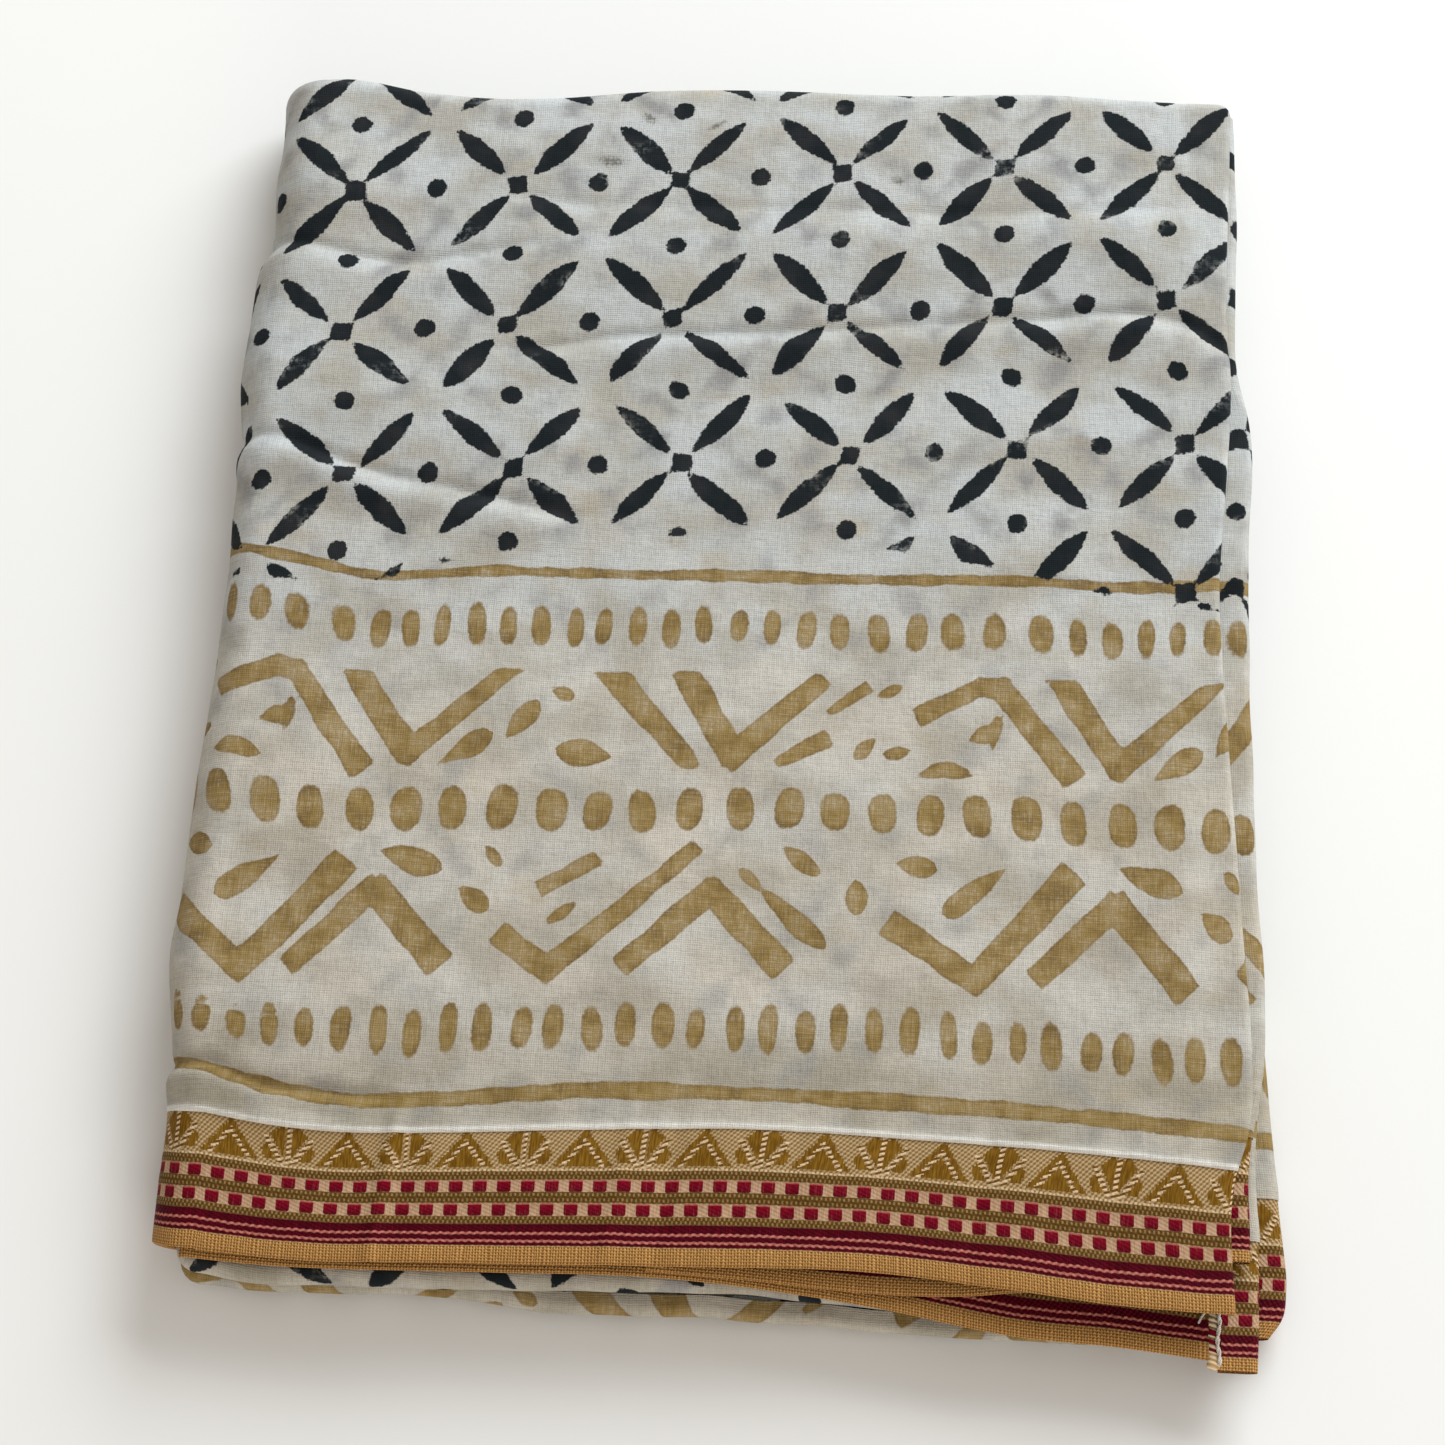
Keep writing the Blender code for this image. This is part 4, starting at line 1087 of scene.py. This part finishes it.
def make_ribbon_strip(name, node, rows, ends, curl, thickness, phase, material):
    """A ribbon below the outer one: its near edge shows, with the cloth's thickness."""
    depths = np.linspace(0, BORDER_DEPTH, STRIP_ROWS)
    v = RIBBON_WIDTH - depths
    v_with_rim = np.concatenate([RIM_V, v])
    edge = ((0.5, -thickness), (0.05, -thickness * 0.8), (-0.15, -thickness * 0.45), (-0.05, -0.1))
    grid, cloth = [], []
    for x in np.arange(*ends, STRIP_STEP):
        near, height = through(rows, x), through(rows, x, 2) + 0.12 * ripple(x, 0, 16, 21)
        z = height + BORDER_RISE * ease(depths, 0, BORDER_DEPTH) + ribbon_relief(v) * 0.8
        rim = [(x, near + out, height + drop) for out, drop in edge]
        body = np.column_stack([np.full(len(depths), x), near + depths, z])
        grid.append(np.concatenate([rim, body]))
        cloth.append(np.column_stack([np.full(len(v_with_rim), x + phase), v_with_rim]))
    first, first_cloth = grid[0], cloth[0]
    for degrees in curl:
        angle = np.radians(degrees)
        grid.insert(0, first - BORDER_CURL * np.array([np.sin(angle), 0, 1 - np.cos(angle)]))
        cloth.insert(0, first_cloth - np.array([BORDER_CURL * angle, 0]))
    grid, cloth = np.array(grid), np.array(cloth)
    piece = surface(name, [grid], material, [cloth])
    declare(piece, node, "woven_ribbon", lengths(grid))


def swept_fold(path, inward, middle, half, leg, end_draw):
    """Nested rounded plies swept along a path in plan, with the length round each from its nose."""
    turns = np.radians(np.linspace(-90, 90, 15))
    legs = np.broadcast_to(np.linspace(leg, 0, 4)[:-1], (len(path), 3))
    grids, arcs = [], []
    for ply in range(FOLD_PLIES):
        radius = np.maximum(half - ply * PLY_PITCH, 0.25)[:, None]
        nose = radius * (1 - np.cos(turns)) + ply * (PLY_PITCH + end_draw)
        depth = np.concatenate([
            np.maximum(legs, nose[:, :1] + 0.05), nose, np.maximum(legs[:, ::-1], nose[:, -1:] + 0.05),
        ], axis=1)
        flat = np.repeat(radius, legs.shape[1], axis=1)
        height = np.concatenate([-flat, radius * np.sin(turns), flat], axis=1)
        xy = path[:, None, :] + inward[:, None, :] * depth[:, :, None]
        grids.append(np.concatenate([xy, (middle[:, None] + height)[:, :, None]], axis=2))
        steps = np.hypot(np.diff(depth, axis=1), np.diff(height, axis=1))
        arc = np.concatenate([np.zeros((len(path), 1)), np.cumsum(steps, axis=1)], axis=1)
        arcs.append(arc - arc[:, -1:] / 2)
    return grids, arcs


def fold_flat(grids):
    sizes = [lengths(grid) for grid in grids]
    return sum(size[1] for size in sizes), np.mean([size[0] for size in sizes])


def make_near_fold(name, node, rows, right_end, start_v, drift_v, seed, material):
    """A fold along the near edge, whose left end turns the corner in plan."""
    x = np.arange(FOLD_END + FOLD_CORNER, right_end + 0.5, 1.0)
    front = np.column_stack([x, through(rows, x)])
    front[:, 1] += 0.22 * ripple(x, 0, 22, seed) * ease(x, x[0], x[0] + 12)
    corner_y = front[0, 1] + FOLD_CORNER
    angles = np.radians(np.linspace(0, 90, 12)[1:-1])
    round_corner = np.column_stack([np.cos(angles), np.sin(angles)])
    corner = np.array([x[0], corner_y]) - FOLD_CORNER * round_corner
    end_y = corner_y + np.linspace(FOLD_END_LENGTH, 0, 6)
    end = np.column_stack([np.full(len(end_y), FOLD_END), end_y])
    path = np.concatenate([end, corner, front])
    inward = np.concatenate([
        np.tile((1.0, 0.0), (len(end), 1)), round_corner, np.tile((0.0, 1.0), (len(front), 1)),
    ])
    place = np.clip(path[:, 0], x[0], None)
    middle = through(rows, place, 2) + 0.12 * ripple(place, 0, 26, seed + 1)
    grids, arcs = swept_fold(path, inward, middle, through(rows, place, 3), FOLD_LEG, 0.15)
    run = np.concatenate([[0], np.cumsum(np.linalg.norm(np.diff(path, axis=0), axis=1))])
    run = (run - run[len(end) + len(corner)] + x[0])[:, None]
    cloth = [
        np.stack([np.broadcast_to(run, arc.shape), arc + start_v + drift_v * run], axis=2) for arc in arcs
    ]
    piece = surface(name, grids, material, cloth, PRINT_FIELDS)
    declare(piece, node, "printed_cotton", fold_flat(grids))


def make_right_fold(name, node, rows, leg, phase, seed, material, seam_y=None):
    """A fold along the right side, of printed cloth or, where its seam's y is given, of ribbon."""
    is_ribbon = seam_y is not None
    places = np.array(rows, float)[:, 0]
    low, high = places.min() + (0 if is_ribbon else FOLD_OVERLAP), places.max()
    y = np.linspace(low, high, int((high - low) / (0.5 if is_ribbon else 0.9)) + 1)
    path = np.column_stack([through(rows, y) + 0.25 * ripple(y, 0, 24, seed), y])
    inward = np.tile((-1.0, 0.0), (len(y), 1))
    middle = through(rows, y, 2) + 0.15 * ripple(y, 0, 30, seed + 1)
    half = through(rows, y, 3)
    if is_ribbon:
        half = half + ribbon_relief(seam_y - y) * 0.5
    else:
        edge_lift = FOLD_STANDS_OUT * (1 - ease(y, low + 2, low + 8))
        half = half + edge_lift
        path[:, 0] += edge_lift
    if not is_ribbon and high < 0:
        tucked = 1 - ease(high - y, 0, FOLD_TUCK_LENGTH)
        half = half * (1 - 0.6 * tucked)
        path[:, 0] -= FOLD_TUCK * tucked
    grids, arcs = swept_fold(path, inward, middle, half, leg, 0.1)
    along = (seam_y - y if is_ribbon else y)[:, None]
    cloth = [np.stack([phase + arc, np.broadcast_to(along, arc.shape)], axis=2) for arc in arcs]
    fields = None if is_ribbon else PRINT_FIELDS
    piece = surface(name, [grid[::-1] for grid in grids], material, [place[::-1] for place in cloth], fields)
    declare(piece, node, "woven_ribbon" if is_ribbon else "plain_cotton", fold_flat(grids))


def rounded_square(count, radius):
    """Points round a square from -1 to 1 with rounded corners, anticlockwise from the near right corner."""
    points = []
    straight = np.linspace(-1 + radius, 1 - radius, count)
    corner = np.linspace(0, np.pi / 2, 12)
    for side in range(4):
        turn = side * np.pi / 2
        cos, sin = np.cos(turn), np.sin(turn)
        run = [(1.0, t) for t in straight]
        bend = [(1 - radius + radius * np.cos(a), 1 - radius + radius * np.sin(a)) for a in corner[1:-1]]
        points += [(cos * a - sin * b, sin * a + cos * b) for a, b in run + bend]
    return np.array(points)


def hidden_left(y, z):
    """The hidden layers' left side, inside the outer ply's round."""
    left = through(LEFT_EDGE, y)
    middle = top_height(left + LEFT_RADIUS, y) / 2
    share = np.clip((z - middle) / (middle - CLOTH - HIDDEN_SIDE_CLEARANCE), -0.98, 0.98)
    reach = LEFT_RADIUS - CLOTH - HIDDEN_SIDE_CLEARANCE
    pull = HIDDEN_LEFT_PULL * ease(-y, -HIDDEN_NEAR_ZONE[0], -HIDDEN_NEAR_ZONE[1])
    return left + LEFT_RADIUS - reach * np.sqrt(1 - share**2) + pull


def hidden_near_height(fold, share, x):
    if fold == "floor":
        return np.full(len(x), HIDDEN_RINGS[0][-1])
    rows = LOWER_FOLD if fold == "lower" else UPPER_FOLD
    return through(rows, x, 2) + share * through(rows, x, 3)


def hidden_ring(square, near_inset, fold, share, far_inset, right_inset, corner_inset, height):
    x_nominal, y_nominal = square[:, 0] * NOMINAL_HALF_WIDTH, square[:, 1] * NOMINAL_HALF_DEPTH
    closeness = ease(-y_nominal, -HIDDEN_NEAR_ZONE[0], -HIDDEN_NEAR_ZONE[1])
    z = height + (hidden_near_height(fold, share, x_nominal) - height) * closeness
    near = through(LOWER_FOLD if fold == "lower" else UPPER_FOLD, x_nominal) + near_inset
    far = through(FAR_EDGE, x_nominal) - far_inset
    y = near + (far - near) * (square[:, 1] + 1) / 2
    left = hidden_left(y, z)
    cornered = ease(-y, -HIDDEN_CORNER_ZONE[0], -HIDDEN_CORNER_ZONE[1])
    right = through(HIDDEN_RIGHT, y) - right_inset + (right_inset - corner_inset) * cornered
    x = left + (right - left) * (square[:, 0] + 1) / 2
    return np.column_stack([x, y, z])


def make_hidden_layers(material, fields):
    """The plies between, as a stack of rounded edges: each stands out a little more or less."""
    square = rounded_square(RING_POINTS, RING_ROUND)
    coarse = np.array([hidden_ring(square, *row) for row in HIDDEN_RINGS])
    levels = [0.0]
    for i in range(len(coarse) - 1):
        rise = np.abs(coarse[i + 1] - coarse[i])[:, 2].mean()
        count = max(2, round(rise / (PLY_PITCH / 4)))
        levels += list(i + np.arange(1, count + 1) / count)
    levels = np.array(levels)
    index = np.clip(levels.astype(int), 0, len(coarse) - 2)
    part = (levels - index)[:, None, None]
    rings = coarse[index] * (1 - part) + coarse[index + 1] * part
    outward = np.sign(square) * (np.abs(square) > RING_EDGE)
    outward = outward / np.maximum(np.linalg.norm(outward, axis=1), 1)[:, None]
    height = rings[:, :, 2]
    ply = np.floor(height / PLY_PITCH)
    scallop = np.abs(np.sin(np.pi * height / PLY_PITCH)) ** 0.6 - 0.7
    around = np.arange(len(square) + 1) * RING_STEP
    stand = np.zeros_like(height)
    for number in np.unique(ply):
        amount = 0.35 * ripple(around[:-1], 0, 60, 500 + int(number)) - 0.15
        stand = np.where(ply == number, amount[None, :], stand)
    rings[:, :, :2] += (0.32 * scallop + stand)[:, :, None] * outward[None]
    cap = rings[-1]
    centre = cap.mean(axis=0)
    for scale in CAP_SCALES:
        plan = centre[:2] + (cap[:, :2] - centre[:2]) * scale
        z = top_height(plan[:, 0], plan[:, 1]) - CLOTH - GAP - DEEPEST_CREASE
        rings = np.concatenate([rings, np.column_stack([plan, z])[None]])
    closed = np.concatenate([rings, rings[:, :1]], axis=1)
    print_row = np.concatenate([ply, np.full((len(CAP_SCALES), len(square)), CAP_PLY)])
    print_row = np.concatenate([print_row, print_row[:, :1]], axis=1)
    cloth = np.stack([
        np.broadcast_to(around, print_row.shape) + PLY_SHIFT_U * print_row,
        FIRST_PLY_V + PLY_SHIFT_V * print_row + closed[:, :, 2],
    ], axis=2)
    piece = surface("inner_plies", [closed], material, [cloth], fields)
    close_ends(piece.data, *closed.shape[:2])
    declare(piece, "hidden_layers", "plain_cotton", INNER_PLIES_FLAT)


def close_ends(mesh, ring_count, ring_points):
    """Fill the first and last ring of a closed stack of rings, and weld the line where each ring closes."""
    work = bmesh.new()
    work.from_mesh(mesh)
    work.verts.ensure_lookup_table()
    last = (ring_count - 1) * ring_points
    for indices in (range(ring_points - 2, -1, -1), range(last, last + ring_points - 1)):
        face = work.faces.new([work.verts[i] for i in indices])
        face.smooth = True
    bmesh.ops.remove_doubles(work, verts=work.verts, dist=1e-7)
    bmesh.ops.recalc_face_normals(work, faces=work.faces)
    work.to_mesh(mesh)
    work.free()


def make_hem(material, thread_finish):
    shape = (HEM_ROWS, HEM_TURNS)
    y = np.linspace(HEM_NEAR, HEM_FAR, HEM_ROWS)
    turns = np.linspace(0, 2 * np.pi, HEM_TURNS)
    past_body = (np.abs(np.linspace(-1, 1, HEM_ROWS)) - HEM_BODY).clip(0) / (1 - HEM_BODY)
    swell = np.sqrt(np.clip(1 - past_body**2, 0.02, 1))
    swell = swell * (1 + 0.07 * np.sin(2 * np.pi * y / 3.1) + 0.05 * ripple(y, 0, 8, 31))
    centre = HEM_X + 0.08 * ripple(y, 0, 20, 32)
    grid = np.stack([
        centre[:, None] + HEM_HALF_WIDTH * swell[:, None] * np.cos(turns), np.broadcast_to(y[:, None], shape),
        HEM_HEIGHT + HEM_HALF_HEIGHT * swell[:, None] * np.sin(turns),
    ], axis=2)
    cloth = np.stack([
        np.broadcast_to(HEM_HALF_WIDTH * turns, shape), np.broadcast_to((CORNER_SEAM_Y - y)[:, None], shape),
    ], axis=2)
    piece = surface("rolled_end_hem", [grid], material, [cloth])
    threads = make_threads(thread_finish)
    along, around = lengths(grid)
    declare(piece, "end_hem", "rolled_hem", (HEM_FLAT_WIDTH * MM, along), area=round(around * along, 7),
            with_pieces=threads)


def tube(name, points, radius, material):
    """A thin thread through points, with its ends closed to a tip."""
    points = np.array(points, float)
    run = np.concatenate([[0], np.cumsum(np.linalg.norm(np.diff(points, axis=0), axis=1))])
    place = np.linspace(0, run[-1], max(12, int(run[-1] / 0.25)))
    line = np.column_stack([through(np.column_stack([run, points[:, i]]), place) for i in range(3)])
    ahead = np.gradient(line, axis=0)
    ahead /= np.linalg.norm(ahead, axis=1)[:, None]
    side = np.cross(ahead, (0.0, 0.0, 1.0)) + (1e-6, 0, 0)
    side /= np.linalg.norm(side, axis=1)[:, None]
    rise = np.cross(side, ahead)
    turns = np.linspace(0, 2 * np.pi, 9)
    thick = radius * np.minimum(1, 0.15 + np.minimum(place, place[-1] - place) / radius)
    grid = line[:, None] + thick[:, None, None] * (
        side[:, None] * np.cos(turns)[None, :, None] + rise[:, None] * np.sin(turns)[None, :, None]
    )
    cloth = np.stack([
        np.broadcast_to(radius * turns, grid.shape[:2]), np.broadcast_to(place[:, None], grid.shape[:2]),
    ], axis=2)
    piece = surface(name, [grid], material, [cloth])
    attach(piece, "root")
    return piece


def make_threads(material):
    """White whipping over the hem: a twisted pair of threads along it and a loose end."""
    y = np.linspace(THREAD_START, THREAD_END, THREAD_POINTS)
    middle_x = HEM_X + 0.75 + 0.35 * ripple(y, 0, 9, 35)
    middle_z = HEM_HEIGHT + HEM_HALF_HEIGHT * 0.95 + 0.25
    threads = []
    for number in range(2):
        turn = np.linspace(0, THREAD_TURN, THREAD_POINTS) + np.pi * number
        x = middle_x + THREAD_TWIST * np.cos(turn)
        z = middle_z + THREAD_TWIST * np.sin(turn)
        points = np.column_stack([x, y, z])
        threads.append(tube(f"whipping_thread_{number + 1}", points, THREAD_RADIUS, material))
    return threads + [tube("loose_thread_end", LOOSE_END, THREAD_RADIUS, material)]


def aim(thing, target):
    thing.rotation_euler = (Vector(target) - thing.location).to_track_quat("-Z", "Y").to_euler()


CAMERA_AZIMUTH = 2.70
CAMERA_ELEVATION = 70.0
CAMERA_DISTANCE = 0.660
CAMERA_TARGET = (-0.00385, -0.01135, 0.010)
CAMERA_LENS = 73.8


def make_camera():
    azimuth, elevation = math.radians(CAMERA_AZIMUTH), math.radians(CAMERA_ELEVATION)
    level = math.cos(elevation)
    back = Vector((math.sin(azimuth) * level, -math.cos(azimuth) * level, math.sin(elevation)))
    data = bpy.data.cameras.new("camera")
    data.lens = CAMERA_LENS
    data.clip_start = 0.01
    camera = placed(bpy.data.objects.new("camera", data))
    camera.location = Vector(CAMERA_TARGET) + CAMERA_DISTANCE * back
    aim(camera, CAMERA_TARGET)
    bpy.context.scene.camera = camera


FLOOR_HALF = 12.0
FLOOR_HEIGHT = -0.0003
FLOOR_COLOUR = (0.87, 0.86, 0.84)
ROOM_COLOUR = (1.0, 0.95, 0.885)
ROOM_STRENGTH = 0.49
LIGHTS = (
    # name, place, size, watts, colour
    ("window", (0.85, 1.55, 1.0), (1.6, 1.1), 55, (0.89, 0.955, 1.0)),
    ("fill", (0.6, -1.9, 0.55), (1.8, 0.8), 16, (1.0, 0.95, 0.88)),
)


def make_light(name, place, size, power, colour):
    data = bpy.data.lights.new(name, "AREA")
    data.shape = "RECTANGLE"
    data.size, data.size_y = size
    data.energy = power
    data.color = colour
    light = placed(bpy.data.objects.new(name, data))
    light.location = place
    aim(light, (0, 0, 0))


def make_stage():
    floor = bpy.data.meshes.new("floor")
    sides = ((-1, -1), (1, -1), (1, 1), (-1, 1))
    corners = [(x * FLOOR_HALF, y * FLOOR_HALF, FLOOR_HEIGHT) for x, y in sides]
    floor.from_pydata(corners, [], [(0, 1, 2, 3)])
    floor.materials.append(plain_material("pale floor", FLOOR_COLOUR))
    placed(bpy.data.objects.new("floor", floor))
    world = bpy.data.worlds.new("studio")
    world.use_nodes = True
    background = world.node_tree.nodes["Background"]
    background.inputs["Color"].default_value = (*ROOM_COLOUR, 1)
    background.inputs["Strength"].default_value = ROOM_STRENGTH
    bpy.context.scene.world = world
    for light in LIGHTS:
        make_light(*light)
    bpy.context.scene.view_settings.view_transform = "Standard"


RIBBON_STRIPS = (
    # piece, node, rows, ends, degrees of the curl at the left end, thickness, place along the ribbon
    ("second_ribbon", "second_border", SECOND_BORDER, SECOND_BORDER_ENDS, (20, 40, 60), 1.0, 9.0),
    ("middle_ribbon", "middle_border", MIDDLE_BORDER, MIDDLE_BORDER_ENDS, (), 0.7, 4.0),
)
NEAR_FOLDS = (
    # piece, node, rows, right end, v along the nose, its drift along x, seed
    ("upper_front_fold", "upper_near_fold", UPPER_FOLD, UPPER_FOLD_RIGHT, 66, 0.05, 41),
    ("lower_front_fold", "lower_near_fold", LOWER_FOLD, LOWER_FOLD_RIGHT, -15, -0.03, 51),
)
RIGHT_FOLDS = (
    # piece, node, rows, reach inwards, place along the cloth, seed, and the seam's y where it is ribbon
    ("second_side_fold", "second_fold", SECOND_FOLD, SECOND_FOLD_LEG, 131, 61, None),
    ("second_side_ribbon", "second_fold_border", SECOND_FOLD_BORDER, SECOND_FOLD_LEG, 5, 61, -99),
    ("corner_side_fold", "corner_fold", CORNER_FOLD, CORNER_FOLD_LEG, 47, 71, None),
    ("corner_side_ribbon", "corner_border", CORNER_BORDER, CORNER_RIBBON_LEG, 11, 71, CORNER_SEAM_Y),
    ("last_side_fold", "side_fold", SIDE_FOLD, SIDE_FOLD_LEG, 83, 81, None),
    ("last_side_ribbon", "side_border", SIDE_BORDER, SIDE_FOLD_LEG, 2, 81, -112),
)

make_camera()
make_stage()

printed_cotton = cloth_material("printed cotton")
# A shaded copy of the cotton for the near folds: painted shade, darker and warmer, with little of the cool
# tint
shaded_cotton = cloth_material("near fold cotton with painted shade", coolness=0.1, painted_shade=0.35)
woven_ribbon = ribbon_material("woven ribbon")

make_outer_cloth(printed_cotton, PRINT_FIELDS)
make_outer_ribbon(woven_ribbon)
for strip in RIBBON_STRIPS:
    make_ribbon_strip(*strip, woven_ribbon)
for fold in NEAR_FOLDS:
    make_near_fold(*fold, shaded_cotton)
for name, node, rows, leg, phase, seed, seam_y in RIGHT_FOLDS:
    material = printed_cotton if seam_y is None else woven_ribbon
    make_right_fold(name, node, rows, leg, phase, seed, material, seam_y)
make_hem(hem_material("rolled hem"), thread_material("white thread"))
make_hidden_layers(printed_cotton, PRINT_FIELDS)
